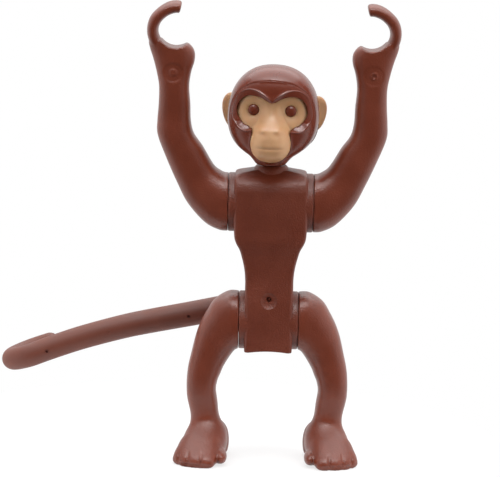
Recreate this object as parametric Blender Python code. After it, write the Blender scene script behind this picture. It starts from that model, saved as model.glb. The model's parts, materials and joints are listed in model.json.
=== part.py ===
"""Toy monkey figure: a jointed plastic ape that stands about 65 mm over its raised hands.

The torso is two half shells, parted front from back. They close round the pegs of both arms,
both legs and the neck, so that each limb turns in its own bearing. The tail snaps into the
back shell. The head is a brown front mask and a brown rear shell, with one pale moulding for
face and ears between them, and the rear shell's two long pins show through it as eyes.

Sizes are in millimetres. Meshes and places are written in metres. The figure faces -Y and +Z
is up. Its own left is +X. The body frame has its middle plane at x = 0, the plane of its
shoulder and hip axes at y = 0 and the soles of its feet at z = 0.
"""

import math

import bmesh
import bpy
import numpy as np
from mathutils import Matrix, Vector

MM = 0.001

# Fits between pieces
WALL = 1.0
RUN_GAP = 0.3
SEAM_GAP = 0.25
BITE = 0.5

# Axes: the hip above the soles, and the shoulder above the hip
HIP_Z = 19.85
SHOULDER_RISE = 16.75

# Torso: height, half width and half depth of each section. The seat and waist count from the hip
# axis, and the chest from the shoulder axis.
WAIST_SECTIONS = (
    (-4.05, 2.95, 3.75),
    (-3.98, 3.18, 3.9),
    (-3.75, 3.32, 3.97),
    (-2.35, 3.33, 3.98),
    (0.05, 3.33, 4.0),
    (2.65, 3.33, 3.92),
    (4.75, 3.36, 3.7),
    (6.35, 3.37, 3.55),
    (7.95, 3.54, 3.55),
    (9.55, 3.92, 3.7),
)
CHEST_SECTIONS = (
    (-6.2, 4.32, 3.86),
    (-5.3, 4.82, 4.0),
    (-4.3, 5.06, 4.08),
    (-2.1, 5.1, 4.1),
    (1.4, 5.1, 4.1),
    (2.4, 5.1, 4.0),
    (3.2, 5.08, 3.7),
    (3.75, 5.02, 3.2),
    (4.15, 4.85, 2.65),
    (4.4, 4.3, 2.2),
    (4.6, 3.3, 1.9),
    (4.75, 2.6, 1.7),
)
TORSO_CORNER = 0.4
TORSO_BULGE = 0.07
SEAT_ARCH = 0.3
BELLY_MARK_RISE = 3.65
BELLY_MARK_RADIUS = 1.15
BELLY_MARK_DEPTH = 0.3
BELLY_NUB_RADIUS = 0.32
BELLY_NUB_HEIGHT = 0.25

# Limb bearings: the bosses that the limbs turn against, their pegs and the flanges inside
SHOULDER_BOSS_PROUD = 0.55
SHOULDER_BOSS_RADIUS = 4.12
HIP_BOSS_PROUD = 0.54
HIP_BOSS_RADIUS = 4.08
PEG_RADIUS = 1.8
ARM_FLANGE_RADIUS = 2.75
LEG_FLANGE_RADIUS = 2.6
FLANGE_THICK = 0.75
LIMB_FACE_INSET = 0.2

# Pins that weld the two torso shells together: one below the shoulders, one above the hips
UPPER_PIN_DROP = 5.4
LOWER_PIN_RISE = 7.35
PIN_RADIUS = 0.8
PIN_BOSS_RADIUS = 1.7
PIN_REACH = 1.6

# Arm: each section's inner edge, outer edge and depth front to back. Each edge is a distance out
# from the shoulder bearing's face and a height above the shoulder axis.
ARM_SECTIONS = (
    (0.55, 4.0, 1.25, -3.85, 7.7),
    (1.15, 4.35, 3.25, -2.85, 7.3),
    (1.9, 4.9, 5.63, -0.25, 6.6),
    (2.55, 6.05, 7.15, 2.6, 6.1),
    (3.55, 7.8, 8.7, 6.0, 5.7),
    (4.85, 9.6, 9.98, 9.3, 5.4),
    (5.4, 11.4, 10.05, 11.4, 5.0),
    (5.5, 13.6, 9.91, 13.6, 4.7),
    (5.7, 16.1, 9.89, 16.1, 4.4),
    (5.45, 18.1, 10.25, 18.1, 4.4),
    (5.0, 19.7, 10.73, 19.9, 4.5),
    (5.02, 20.95, 11.17, 21.2, 4.5),
    (5.6, 21.85, 11.4, 22.15, 4.3),
    (6.5, 22.4, 11.3, 22.75, 3.9),
)
GRIP_OUT = 7.65
GRIP_RISE = 24.0
GRIP_RADIUS = 2.5
# Finger round the grip: angle from the outward direction, inner and outer radius, depth
FINGER_SECTIONS = (
    (-48.0, 2.2, 4.05, 3.4),
    (-20.0, 2.2, 4.05, 4.0),
    (0.0, 2.2, 4.02, 4.3),
    (25.0, 2.2, 3.9, 4.4),
    (45.0, 2.2, 3.78, 4.4),
    (62.0, 2.2, 3.8, 4.4),
    (75.0, 2.2, 3.92, 4.35),
    (90.0, 2.2, 4.0, 4.3),
    (98.0, 2.25, 3.92, 4.25),
    (101.0, 2.6, 3.62, 3.8),
)

# Leg: the same, from the hip bearing's face and the hip axis, with each section's y at the end
LEG_SECTIONS = (
    (0.43, -4.15, 1.53, 3.9, 7.7, 0.0),
    (0.93, -4.85, 3.42, 2.77, 7.2, 0.0),
    (1.38, -5.55, 4.55, 1.03, 6.7, 0.0),
    (1.73, -6.15, 5.38, -0.62, 6.3, 0.0),
    (2.08, -6.8, 5.99, -2.36, 5.9, -0.1),
    (2.43, -7.7, 6.55, -4.75, 5.5, -0.2),
    (2.78, -8.55, 6.98, -6.75, 5.2, -0.3),
    (3.01, -9.75, 7.16, -8.75, 5.0, -0.3),
    (2.93, -10.75, 7.13, -10.65, 4.8, -0.2),
    (2.7, -11.95, 6.98, -11.95, 4.6, 0.0),
    (2.58, -13.35, 6.63, -13.35, 4.4, 0.1),
)
# The ankle: height above the sole, inner and outer edge, depth and y of the sections in the foot
ANKLE_SECTIONS = (
    (5.2, 2.4, 6.5, 4.4, 0.2),
    (3.6, 2.1, 6.63, 4.8, 0.2),
    (1.6, 1.9, 6.53, 4.6, 0.2),
)

# Foot: distance ahead of the ankle, middle and width across, and height of each section
FOOT_TURN = 10.0
FOOT_OUT = 4.73
FOOT_BACK = 0.2
FOOT_SECTIONS = (
    (-3.5, -0.6, 2.4, 1.9),
    (-3.17, -0.6, 3.5, 3.0),
    (-2.4, -0.6, 4.6, 4.4),
    (-1.1, -0.6, 5.4, 5.6),
    (0.46, -0.6, 5.9, 6.1),
    (1.78, -0.6, 6.0, 5.6),
    (2.88, -0.45, 6.15, 4.75),
    (3.98, -0.25, 6.2, 3.95),
    (5.08, -0.05, 6.2, 3.1),
    (6.0, 0.15, 6.0, 2.3),
    (6.6, 0.25, 5.5, 1.7),
)
# Toe: its tip across and ahead of the ankle, width, length, height, and turn from the foot's own
TOES = (
    (-2.9, 6.2, 1.9, 5.8, 2.2, -6.0),
    (-1.88, 7.65, 1.8, 3.8, 1.5, 0.0),
    (-0.1, 7.72, 1.95, 3.8, 1.45, 0.0),
    (1.52, 7.3, 1.6, 3.6, 1.4, 4.0),
    (2.75, 6.25, 1.35, 3.4, 1.3, 10.0),
)
TOE_CLEAR = 0.12
# Heel: the lump's middle out from the middle plane, behind the leg's axis and up, and its sizes
HEEL_PLACE = (7.05, 2.1, 1.85)
HEEL_SIZES = (1.95, 1.9, 3.35)

# Tail: its root above the hip axis, its centre line behind the back, and the curl at its end
TAIL_ROOT_RISE = 1.45
TAIL_STANDOFF = 2.75
TAIL_ROOT_RADIUS = 1.85
TAIL_TIP_RADIUS = 1.45
TAIL_POINTS = (
    (-4.0, -0.7),
    (-10.2, -2.03),
    (-16.9, -3.4),
    (-21.0, -4.36),
    (-26.6, -6.0),
    (-31.2, -7.65),
)
TAIL_CURL_RADIUS = 4.05
TAIL_CURL_X = -32.7
TAIL_CURL_DROP = 8.3
TAIL_CURL_SLOPE = 0.37
TAIL_CURL_SINK = 0.6
TAIL_CURL_TURN = 195.0
TAIL_PEG_RADIUS = 1.15
TAIL_BARB_RADIUS = 1.6
TAIL_BARB_LONG = 1.0

# Neck: a peg on the head, held by a flange under the torso's roof
NECK_RADIUS = 1.35
NECK_FLANGE_RADIUS = 2.4
NECK_COLLAR_RADIUS = 2.05
NECK_COLLAR_FOOT = 2.7
NECK_COLLAR_RISE = 0.55
NECK_SHOWS = 0.3
NECK_ROOT = 2.2
NECK_RIB_LOW = 1.2
NECK_RIB_BACK = 3.4

# Head form, about its own centre on the neck's axis
HEAD_WIDE = 6.35
HEAD_UP = 7.1
HEAD_DOWN = 6.65
HEAD_SQUARE = 2.22
HEAD_FRONT = 5.9
HEAD_BACK = 6.3
HEAD_TILT = 0.9
HEAD_TURN = -3.5

# These tables start with the angle above the level line, and are the same on both sides. The
# second number is the jaw's outline radius, and the squareness of the front from middle to edge.
JAW_OUTLINE = (
    (0.0, HEAD_WIDE),
    (-15.0, 6.4),
    (-30.0, 6.4),
    (-40.0, 6.3),
    (-50.0, 6.14),
    (-60.0, 6.1),
    (-67.0, 6.36),
    (-73.0, 6.7),
    (-80.0, 6.7),
    (-90.0, HEAD_DOWN),
)
FRONT_POWERS = (
    (90.0, 3.3),
    (40.0, 2.9),
    (0.0, 2.8),
    (-30.0, 3.3),
    (-45.0, 4.2),
    (-60.0, 5.2),
    (-90.0, 6.0),
)

# Face window: angle and radius of its edge about the head's centre, from top to bottom
WINDOW_EDGE = (
    (90.0, 2.34),
    (77.0, 2.57),
    (66.0, 3.2),
    (56.0, 3.85),
    (47.0, 4.45),
    (38.0, 4.88),
    (28.0, 5.1),
    (19.0, 5.12),
    (10.0, 4.97),
    (2.0, 4.6),
    (-5.0, 4.2),
    (-10.0, 3.95),
    (-16.0, 3.4),
    (-25.0, 3.08),
    (-30.0, 3.05),
    (-38.0, 3.4),
    (-45.0, 3.97),
    (-53.0, 4.58),
    (-60.0, 5.08),
    (-68.0, 5.45),
    (-77.0, 5.76),
    (-90.0, 5.95),
)
# The ridge outside the window's bevel, and the rim of the crown beyond the brow
RIDGE_LINE = (
    (90.0, 2.62),
    (81.0, 3.0),
    (70.0, 3.77),
    (61.0, 4.56),
    (53.0, 5.18),
    (44.0, 5.58),
    (35.0, 5.78),
    (27.0, 5.74),
    (10.0, 5.6),
    (0.0, 5.35),
    (-7.0, 5.0),
    (-14.0, 4.75),
    (-21.0, 4.2),
    (-26.0, 3.4),
    (-30.0, 3.1),
    (-40.0, 3.5),
    (-90.0, 5.95),
)
RIM_LINE = (
    (90.0, 5.36),
    (75.0, 5.4),
    (63.0, 5.6),
    (52.0, 5.76),
    (35.0, 5.97),
    (14.0, 5.9),
    (0.0, 5.82),
    (-15.0, 5.76),
    (-29.0, 5.75),
    (-45.0, 5.84),
    (-60.0, 5.72),
    (-75.0, 6.0),
    (-90.0, 6.35),
)
WINDOW_LIP = 0.5
BEVEL_WIDE = 0.8
BROW_RECESS = 0.35
CHEEK_RECESS = 0.16
RIM_STEP = 0.16
FACE_RECESS = 0.85
EYE_X = 2.56
EYE_Z = 1.24
EYE_RADIUS = 0.78
EYE_GAP = 0.2
EYE_PROUD = 0.5
EYE_BOWL = 1.25
EYE_SUNK = 0.5
BRIDGE_PROUD = 0.4
MUZZLE_Z = -3.35
MUZZLE_WIDE = 2.85
MUZZLE_HIGH = 2.85
MUZZLE_PROUD = 2.3
NOSE_Z = -0.7
NOSE_PROUD = 0.85
LIP_Z = -3.1
LIP_PROUD = 0.15
MOUTH_Z = -3.65
MOUTH_WIDE = 2.1
MOUTH_DEEP = 0.25
EAR_Z = 0.45
EAR_HIGH = 2.45
EAR_WIDE = 1.75
EAR_THICK = 0.8
EAR_SWEEP = 38.0
EAR_OUT = -0.42
EAR_BACK = 0.75
EAR_ROOT_HIGH = 3.4
EAR_ROOT_THICK = 1.1
EAR_ROOT_OUT = 0.45

# Places that follow from the sizes above
SHOULDER_Z = HIP_Z + SHOULDER_RISE
SEAT_Z = HIP_Z + WAIST_SECTIONS[0][0]
CHEST_TOP_Z = SHOULDER_Z + CHEST_SECTIONS[-1][0]
ROOF_Z = CHEST_TOP_Z - WALL
COLLAR_TOP_Z = CHEST_TOP_Z + NECK_COLLAR_RISE
NECK_PIVOT_Z = ROOF_Z - RUN_GAP - FLANGE_THICK / 2
HEAD_BASE_Z = COLLAR_TOP_Z + NECK_SHOWS
HEAD_Z = HEAD_BASE_Z + HEAD_DOWN
TAIL_ROOT_Z = HIP_Z + TAIL_ROOT_RISE
BELLY_MARK_Z = HIP_Z + BELLY_MARK_RISE
PIN_HEIGHTS = (SHOULDER_Z - UPPER_PIN_DROP, HIP_Z + LOWER_PIN_RISE)

BROWN_BODY = (0.117, 0.024, 0.01)
BROWN_LIMB = (0.138, 0.03, 0.012)
BROWN_HEAD = (0.147, 0.028, 0.011)
BROWN_TAIL = (0.15, 0.037, 0.019)
BEIGE_FACE = (0.485, 0.275, 0.144)


def clear_scene():
    """Remove every object, so that the script gives the same figure in any file."""
    for thing in list(bpy.data.objects):
        bpy.data.objects.remove(thing, do_unlink=True)


def new_collection(name):
    """A collection of the scene."""
    collection = bpy.data.collections.new(name)
    bpy.context.scene.collection.children.link(collection)
    return collection


def plastic(name, colour, roughness):
    """A moulded plastic: one colour, no metal."""
    material = bpy.data.materials.new(name)
    material.use_nodes = True
    shader = material.node_tree.nodes["Principled BSDF"]
    shader.inputs["Base Color"].default_value = (*colour, 1.0)
    shader.inputs["Roughness"].default_value = roughness
    shader.inputs["Metallic"].default_value = 0.0
    return material


def empty(name, carrier=None):
    """An empty that carries other objects."""
    thing = bpy.data.objects.new(name, None)
    bpy.context.scene.collection.objects.link(thing)
    thing.parent = carrier
    return thing


def mesh_object(name, mesh_data, collection, pivot, carrier):
    """An object from a bmesh in millimetres, its faces turned outwards and written in metres.

    Its origin moves to the pivot. Both are given in the figure's frame, and the carrier is the
    figure or an empty that the figure carries."""
    bmesh.ops.recalc_face_normals(mesh_data, faces=mesh_data.faces[:])
    if mesh_data.calc_volume(signed=True) < 0.0:
        bmesh.ops.reverse_faces(mesh_data, faces=mesh_data.faces[:])
    bmesh.ops.translate(mesh_data, vec=-Vector(pivot), verts=mesh_data.verts[:])
    bmesh.ops.scale(mesh_data, vec=(MM, MM, MM), verts=mesh_data.verts[:])
    mesh = bpy.data.meshes.new(name)
    mesh_data.to_mesh(mesh)
    mesh_data.free()
    thing = bpy.data.objects.new(name, mesh)
    collection.objects.link(thing)
    thing.parent = carrier
    thing.location = Vector(pivot) * MM - (carrier.location if carrier.parent else Vector())
    return thing


def piece(name, mesh_data, material, pivot, carrier=None):
    """A visible piece, with its origin at the pivot on its joint's axis."""
    thing = mesh_object(name, mesh_data, PIECES, pivot, carrier or FIGURE)
    thing.data.materials.append(material)
    return thing


def tool(name, mesh_data, carrier=None):
    """A shape that is cut from a piece or joined to it, hidden from renders."""
    thing = mesh_object(name, mesh_data, TOOLS, (0.0, 0.0, 0.0), carrier or FIGURE)
    thing.display_type = "WIRE"
    thing.hide_render = True
    return thing


def combine(target, operand, operation):
    """Join the operand to the target, cut it away, or keep what both share."""
    step = target.modifiers.new(operand.name, "BOOLEAN")
    step.operation = operation
    step.solver = "EXACT"
    step.object = operand


def skin(rings, loop=False):
    """A closed skin over rings of points. A ring of one point is a pole, and other ends get caps."""
    mesh_data = bmesh.new()
    rows = [[mesh_data.verts.new(point) for point in ring] for ring in rings]
    pairs = list(zip(rows[:-1], rows[1:]))
    if loop:
        pairs.append((rows[-1], rows[0]))
    for lower, upper in pairs:
        count = max(len(lower), len(upper))
        for k in range(count):
            corners = [lower[k % len(lower)], lower[(k + 1) % len(lower)]]
            corners += [upper[(k + 1) % len(upper)], upper[k % len(upper)]]
            mesh_data.faces.new(list(dict.fromkeys(corners)))
    if not loop:
        for end in (rows[0], rows[-1]):
            if len(end) > 1:
                mesh_data.faces.new(end)
    return mesh_data


def oval(centre, across, over, half_width, half_depth, power, count):
    """Points round an oval section. Power 2 is an ellipse, and more is squarer."""
    turn = np.linspace(0.0, 2.0 * math.pi, count, endpoint=False)
    swing = np.stack((np.cos(turn), np.sin(turn)))
    swing = np.sign(swing) * np.abs(swing) ** (2.0 / power)
    offset = np.outer(swing[0] * half_width, across) + np.outer(swing[1] * half_depth, over)
    return np.asarray(centre) + offset


def smooth_rows(rows, steps):
    """Rows of numbers read off a smooth curve through the given ones, steps to each span."""
    rows = np.asarray(rows, dtype=float)
    ends = np.vstack((2 * rows[0] - rows[1], rows, 2 * rows[-1] - rows[-2]))
    found = []
    for k in range(1, len(ends) - 2):
        a, b, c, d = ends[k - 1 : k + 3]
        for t in np.arange(steps) / steps:
            bend = (2 * a - 5 * b + 4 * c - d) * t**2 + (3 * b - a - 3 * c + d) * t**3
            found.append(b + 0.5 * ((c - a) * t + bend))
    found.append(rows[-1])
    return np.array(found)


def limb_rings(rows, side, face_x, axis_z, count):
    """Round sections of a limb, each between its inner and outer edge, with a depth and a y."""
    rings = []
    for inner_out, inner_rise, outer_out, outer_rise, depth, y in rows:
        inner = np.array(((face_x + inner_out) * side, y, axis_z + inner_rise))
        outer = np.array(((face_x + outer_out) * side, y, axis_z + outer_rise))
        width = np.linalg.norm(outer - inner)
        across = (outer - inner) / width
        middle = (inner + outer) / 2
        rings.append(oval(middle, across, (0, 1, 0), width / 2, depth / 2, 2.15, count))
    return rings


def rod(start, end, radius, tip_radius=None, segments=24):
    """A closed cylinder or cone between two points."""
    start, end = Vector(start), Vector(end)
    mesh_data = bmesh.new()
    tip_radius = radius if tip_radius is None else tip_radius
    length = (end - start).length
    bmesh.ops.create_cone(
        mesh_data, cap_ends=True, segments=segments, radius1=radius, radius2=tip_radius, depth=length
    )
    turn = Vector((0, 0, 1)).rotation_difference(end - start).to_matrix().to_4x4()
    place = Matrix.Translation((start + end) / 2) @ turn
    bmesh.ops.transform(mesh_data, matrix=place, verts=mesh_data.verts[:])
    return mesh_data


def block(low, high):
    """A closed box between two corners."""
    mesh_data = bmesh.new()
    bmesh.ops.create_cube(mesh_data, size=1.0)
    low, high = Vector(low), Vector(high)
    place = Matrix.Translation((low + high) / 2) @ Matrix.Diagonal((high - low).to_4d())
    place[3][3] = 1.0
    bmesh.ops.transform(mesh_data, matrix=place, verts=mesh_data.verts[:])
    return mesh_data


def egg(centre, sizes, turn=0.0, rows=8, segments=14):
    """A ball stretched to three half sizes and turned about the upright axis."""
    mesh_data = bmesh.new()
    bmesh.ops.create_uvsphere(mesh_data, u_segments=segments, v_segments=rows, radius=1.0)
    place = Matrix.Translation(centre) @ Matrix.Rotation(turn, 4, "Z") @ Matrix.Diagonal((*sizes, 1))
    bmesh.ops.transform(mesh_data, matrix=place, verts=mesh_data.verts[:])
    return mesh_data


def torso_table():
    """Height, half width and half depth of every torso section, from the seat up."""
    waist = np.array(WAIST_SECTIONS) + (HIP_Z, 0, 0)
    chest = np.array(CHEST_SECTIONS) + (SHOULDER_Z, 0, 0)
    return np.vstack((waist, chest))


def torso_section(z):
    """Half width of the torso at a height, and its half depth at the corners."""
    table = torso_table()
    return [np.interp(z, table[:, 0], table[:, column]) for column in (1, 2)]


def torso_depth(z):
    """Half depth of the torso at a height, in the middle plane."""
    return torso_section(z)[1] * (1.0 + TORSO_BULGE)


def rounded_box(z, wide, deep, corner_steps, face_steps):
    """One level section: quarter circles at the corners, and a front and back that bulge by a
    parabola. Half of it is worked out, and the other half mirrors that through the middle."""
    corner = min(TORSO_CORNER, 0.4 * deep)
    bend = np.linspace(0.0, math.pi / 2, corner_steps)
    along = np.linspace(1.0, -1.0, face_steps + 2)[1:-1]
    flat_x, flat_y = wide - corner, deep - corner
    x = np.concatenate((flat_x + corner * np.cos(bend), flat_x * along, -flat_x - corner * np.sin(bend)))
    y = np.concatenate((flat_y + corner * np.sin(bend), deep + 0 * along, flat_y + corner * np.cos(bend)))
    x, y = np.concatenate((x, -x)), np.concatenate((y, -y))
    middle = 1.0 - (x / wide) ** 2
    height = z + SEAT_ARCH * middle * np.clip(SEAT_Z + WALL - z, 0.0, 1.0)
    return np.stack((x, y * (1.0 + TORSO_BULGE * middle), height), axis=1)


def torso_rings(inset, low, high, corner_steps, face_steps):
    """The torso's sections between two heights, drawn in by an inset."""
    heights = torso_table()[:, 0]
    heights = [low, *heights[(heights > low) & (heights < high)], high]
    rings = []
    for z in heights:
        wide, deep = torso_section(z)
        rings.append(rounded_box(z, wide - inset, deep - inset, corner_steps, face_steps))
    return rings


def torso_blank():
    """The whole torso as one closed solid. The arched seat closes at a point in its middle."""
    rings = torso_rings(0.0, SEAT_Z, CHEST_TOP_Z, 3, 5)
    seat = np.array([(0.0, 0.0, SEAT_Z + SEAT_ARCH)])
    return skin([seat, *rings])


def bearing_face(z, proud):
    """Distance of a bearing boss's face from the middle plane."""
    return torso_section(z)[0] + proud


def flange_face(z):
    """Distance from the middle plane of the face of a limb's flange, inside the torso's wall."""
    return torso_section(z)[0] - WALL - RUN_GAP


def bearings():
    """Height, boss face, boss radius and flange radius of the shoulder and hip bearings."""
    shoulder = bearing_face(SHOULDER_Z, SHOULDER_BOSS_PROUD)
    hip = bearing_face(HIP_Z, HIP_BOSS_PROUD)
    return (
        (SHOULDER_Z, shoulder, SHOULDER_BOSS_RADIUS, ARM_FLANGE_RADIUS),
        (HIP_Z, hip, HIP_BOSS_RADIUS, LEG_FLANGE_RADIUS),
    )


def torso_joins():
    """What stands on the torso's outside: four bearing bosses and the collar of the neck."""
    joins = []
    for z, face_x, radius, _ in bearings():
        inner = torso_section(z)[0] - BITE
        for side in (-1, 1):
            boss = rod((side * inner, 0, z), (side * face_x, 0, z), radius, segments=32)
            joins.append(tool("bearing_boss", boss))
    collar = rod((0, 0, CHEST_TOP_Z - BITE), (0, 0, COLLAR_TOP_Z), NECK_COLLAR_FOOT, NECK_COLLAR_RADIUS)
    joins.append(tool("neck_collar", collar))
    return joins


def torso_cuts():
    """What is cut from the torso: its hollow, the bearing holes, flange pockets and neck hole."""
    cuts = [tool("torso_hollow", skin(torso_rings(WALL, SEAT_Z + WALL + SEAT_ARCH, ROOF_Z, 2, 2)))]
    for z, face_x, _, flange_radius in bearings():
        hole = rod((-face_x - BITE, 0, z), (face_x + BITE, 0, z), PEG_RADIUS + RUN_GAP)
        cuts.append(tool("bearing_hole", hole))
        outer = flange_face(z) + RUN_GAP
        pocket = rod((-outer, 0, z), (outer, 0, z), flange_radius + RUN_GAP)
        cuts.append(tool("flange_pocket", pocket))
    neck = rod((0, 0, ROOF_Z - BITE), (0, 0, COLLAR_TOP_Z + BITE), NECK_RADIUS + RUN_GAP)
    cuts.append(tool("neck_hole", neck))
    return cuts


def make_torso(material):
    """Two half shells with bearings for the limbs and the neck, and pins that join them."""
    joins = torso_joins()
    cuts = torso_cuts()
    reach = bearing_face(SHOULDER_Z, SHOULDER_BOSS_PROUD) + WALL
    for name, facing in (("torso_front", -1), ("torso_back", 1)):
        shell = piece(name, torso_blank(), material, (0, 0, 0))
        for boss in joins:
            combine(shell, boss, "UNION")
        for cutter in cuts:
            combine(shell, cutter, "DIFFERENCE")
        near, far = sorted((facing * SEAM_GAP / 2, facing * reach))
        half = block((-reach, near, SEAT_Z - WALL), (reach, far, COLLAR_TOP_Z + WALL))
        combine(shell, tool(name + "_side", half), "INTERSECT")
        if facing < 0:
            add_weld_pins(shell)
            mark_belly(shell)
        else:
            add_weld_sockets(shell)
            cut_tail_socket(shell)


def add_weld_pins(shell):
    """Pins from the front shell's wall that reach past the parting into the back shell."""
    for z in PIN_HEIGHTS:
        root = torso_section(z)[1] - WALL / 2
        pin = rod((0, -root, z), (0, PIN_REACH, z), PIN_RADIUS, segments=16)
        combine(shell, tool("weld_pin", pin), "UNION")


def add_weld_sockets(shell):
    """Sockets on the back shell for the front shell's pins."""
    for z in PIN_HEIGHTS:
        root = torso_section(z)[1] - WALL / 2
        socket = rod((0, root, z), (0, SEAM_GAP / 2, z), PIN_BOSS_RADIUS, segments=20)
        combine(shell, tool("weld_socket", socket), "UNION")
        seat = rod((0, -BITE, z), (0, PIN_REACH + RUN_GAP, z), PIN_RADIUS + RUN_GAP / 2, segments=16)
        combine(shell, tool("weld_socket_hole", seat), "DIFFERENCE")


def cut_tail_socket(shell):
    """The hole that the tail's peg snaps through, and the pocket that its barb turns in."""
    back = torso_depth(TAIL_ROOT_Z)
    hole = rod((0, back - WALL - BITE, TAIL_ROOT_Z), (0, back + BITE, TAIL_ROOT_Z),
               TAIL_PEG_RADIUS + RUN_GAP, segments=20)
    combine(shell, tool("tail_hole", hole), "DIFFERENCE")
    pocket = rod((0, back - WALL - RUN_GAP - TAIL_BARB_LONG, TAIL_ROOT_Z),
                 (0, back - WALL, TAIL_ROOT_Z), TAIL_BARB_RADIUS + RUN_GAP, segments=20)
    combine(shell, tool("tail_pocket", pocket), "DIFFERENCE")


def mark_belly(shell):
    """The round dimple where the plastic entered the mould, with the nub left in its middle."""
    front = -torso_depth(BELLY_MARK_Z)
    ball_radius = (BELLY_MARK_RADIUS**2 + BELLY_MARK_DEPTH**2) / (2 * BELLY_MARK_DEPTH)
    centre = (0, front + BELLY_MARK_DEPTH - ball_radius, BELLY_MARK_Z)
    ball = egg(centre, (ball_radius, ball_radius, ball_radius), rows=36, segments=48)
    combine(shell, tool("belly_dimple", ball), "DIFFERENCE")
    floor = front + BELLY_MARK_DEPTH
    nub = rod((0, floor + WALL / 3, BELLY_MARK_Z), (0, floor - BELLY_NUB_HEIGHT, BELLY_MARK_Z),
              BELLY_NUB_RADIUS, BELLY_NUB_RADIUS * 0.7, segments=10)
    combine(shell, tool("belly_nub", nub), "UNION")


def add_peg(limb, name, side, root_x, z, flange_radius):
    """The peg that turns in the torso's bearing, and the flange that holds it inside."""
    inner_x = flange_face(z)
    buried = inner_x - FLANGE_THICK / 2
    peg = rod((side * (root_x + WALL), 0, z), (side * buried, 0, z), PEG_RADIUS, segments=20)
    combine(limb, tool(name + "_peg", peg), "UNION")
    flange = rod((side * inner_x, 0, z), (side * (inner_x - FLANGE_THICK), 0, z), flange_radius)
    combine(limb, tool(name + "_flange", flange), "UNION")


def make_arm(name, side, material):
    """An arm that bends at the elbow and ends in a palm and one curled finger for gripping bars."""
    face_x = bearing_face(SHOULDER_Z, SHOULDER_BOSS_PROUD) + RUN_GAP
    root = SHOULDER_BOSS_RADIUS - LIMB_FACE_INSET
    rows = [(0.0, root, 0.0, -root, 2 * root, 0.0)]
    rows += [(*section, 0.0) for section in ARM_SECTIONS]
    rings = limb_rings(smooth_rows(rows, 2), side, face_x, SHOULDER_Z, 16)
    arm = piece(name, skin(rings), material, (side * face_x, 0, SHOULDER_Z))
    grip_x = (face_x + GRIP_OUT) * side
    grip_z = SHOULDER_Z + GRIP_RISE
    finger = []
    for degrees, near, far, depth in smooth_rows(FINGER_SECTIONS, 2):
        angle = math.radians(degrees)
        outward = np.array((math.cos(angle) * side, 0.0, math.sin(angle)))
        centre = np.array((grip_x, 0.0, grip_z)) + outward * (near + far) / 2
        finger.append(oval(centre, outward, (0, 1, 0), (far - near) / 2, depth / 2, 3.2, 12))
    combine(arm, tool(name + "_finger", skin(finger)), "UNION")
    reach = FINGER_SECTIONS[0][3]
    grip = rod((grip_x, -reach, grip_z), (grip_x, reach, grip_z), GRIP_RADIUS, segments=36)
    combine(arm, tool(name + "_grip", grip), "DIFFERENCE")
    add_peg(arm, name, side, face_x, SHOULDER_Z, ARM_FLANGE_RADIUS)


def make_leg(name, side, material):
    """A bowed leg with a lump of a heel, a big toe set back and four toes in a row."""
    face_x = bearing_face(HIP_Z, HIP_BOSS_PROUD) + RUN_GAP
    root = HIP_BOSS_RADIUS - LIMB_FACE_INSET
    rows = [(0.0, -root, 0.0, root, 2 * root, 0.0), *LEG_SECTIONS]
    for height, inner_out, outer_out, depth, y in ANKLE_SECTIONS:
        rows.append((inner_out, height - HIP_Z, outer_out, height - HIP_Z, depth, y))
    rings = limb_rings(smooth_rows(rows, 2), side, face_x, HIP_Z, 16)
    leg = piece(name, skin(rings), material, (side * face_x, 0, HIP_Z))
    ankle = np.array(((face_x + FOOT_OUT) * side, FOOT_BACK, 0.0))
    turn = math.radians(FOOT_TURN)
    ahead = np.array((math.sin(turn) * side, -math.cos(turn), 0.0))
    across = np.array((math.cos(turn) * side, math.sin(turn), 0.0))
    combine(leg, tool(name + "_foot", foot_blank(ankle, ahead, across)), "UNION")
    out, back, up = HEEL_PLACE
    heel = on_floor(egg((out * side, back, up), HEEL_SIZES, 0.0, 10, 14))
    combine(leg, tool(name + "_heel", heel), "UNION")
    for number, (aside, forward, width, length, height, splay) in enumerate(TOES):
        aim = turn + math.radians(splay)
        tip = ankle + across * aside + ahead * forward + (0, 0, TOE_CLEAR + height / 2)
        centre = tip - np.array((math.sin(aim) * side, -math.cos(aim), 0.0)) * (length / 2)
        toe = egg(centre, (width / 2, length / 2, height / 2), aim * side, 6, 12)
        combine(leg, tool(f"{name}_toe_{number}", toe), "UNION")
    add_peg(leg, name, side, face_x, HIP_Z, LEG_FLANGE_RADIUS)


def on_floor(mesh_data):
    """Flatten what reaches below the soles onto the floor."""
    for vertex in mesh_data.verts:
        vertex.co.z = max(vertex.co.z, 0.0)
    return mesh_data


def foot_blank(ankle, ahead, across):
    """The foot without its toes: rounded sections from heel to knuckles, flat underneath."""
    rings = []
    for distance, middle, width, height in FOOT_SECTIONS:
        centre = ankle + ahead * distance + across * middle + (0, 0, height * 0.42)
        ring = oval(centre, across, (0, 0, 1), width / 2, height * 0.58, 2.6, 20)
        ring[:, 2] = np.maximum(ring[:, 2], 0.0)
        rings.append(ring)
    return skin(rings)


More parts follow.
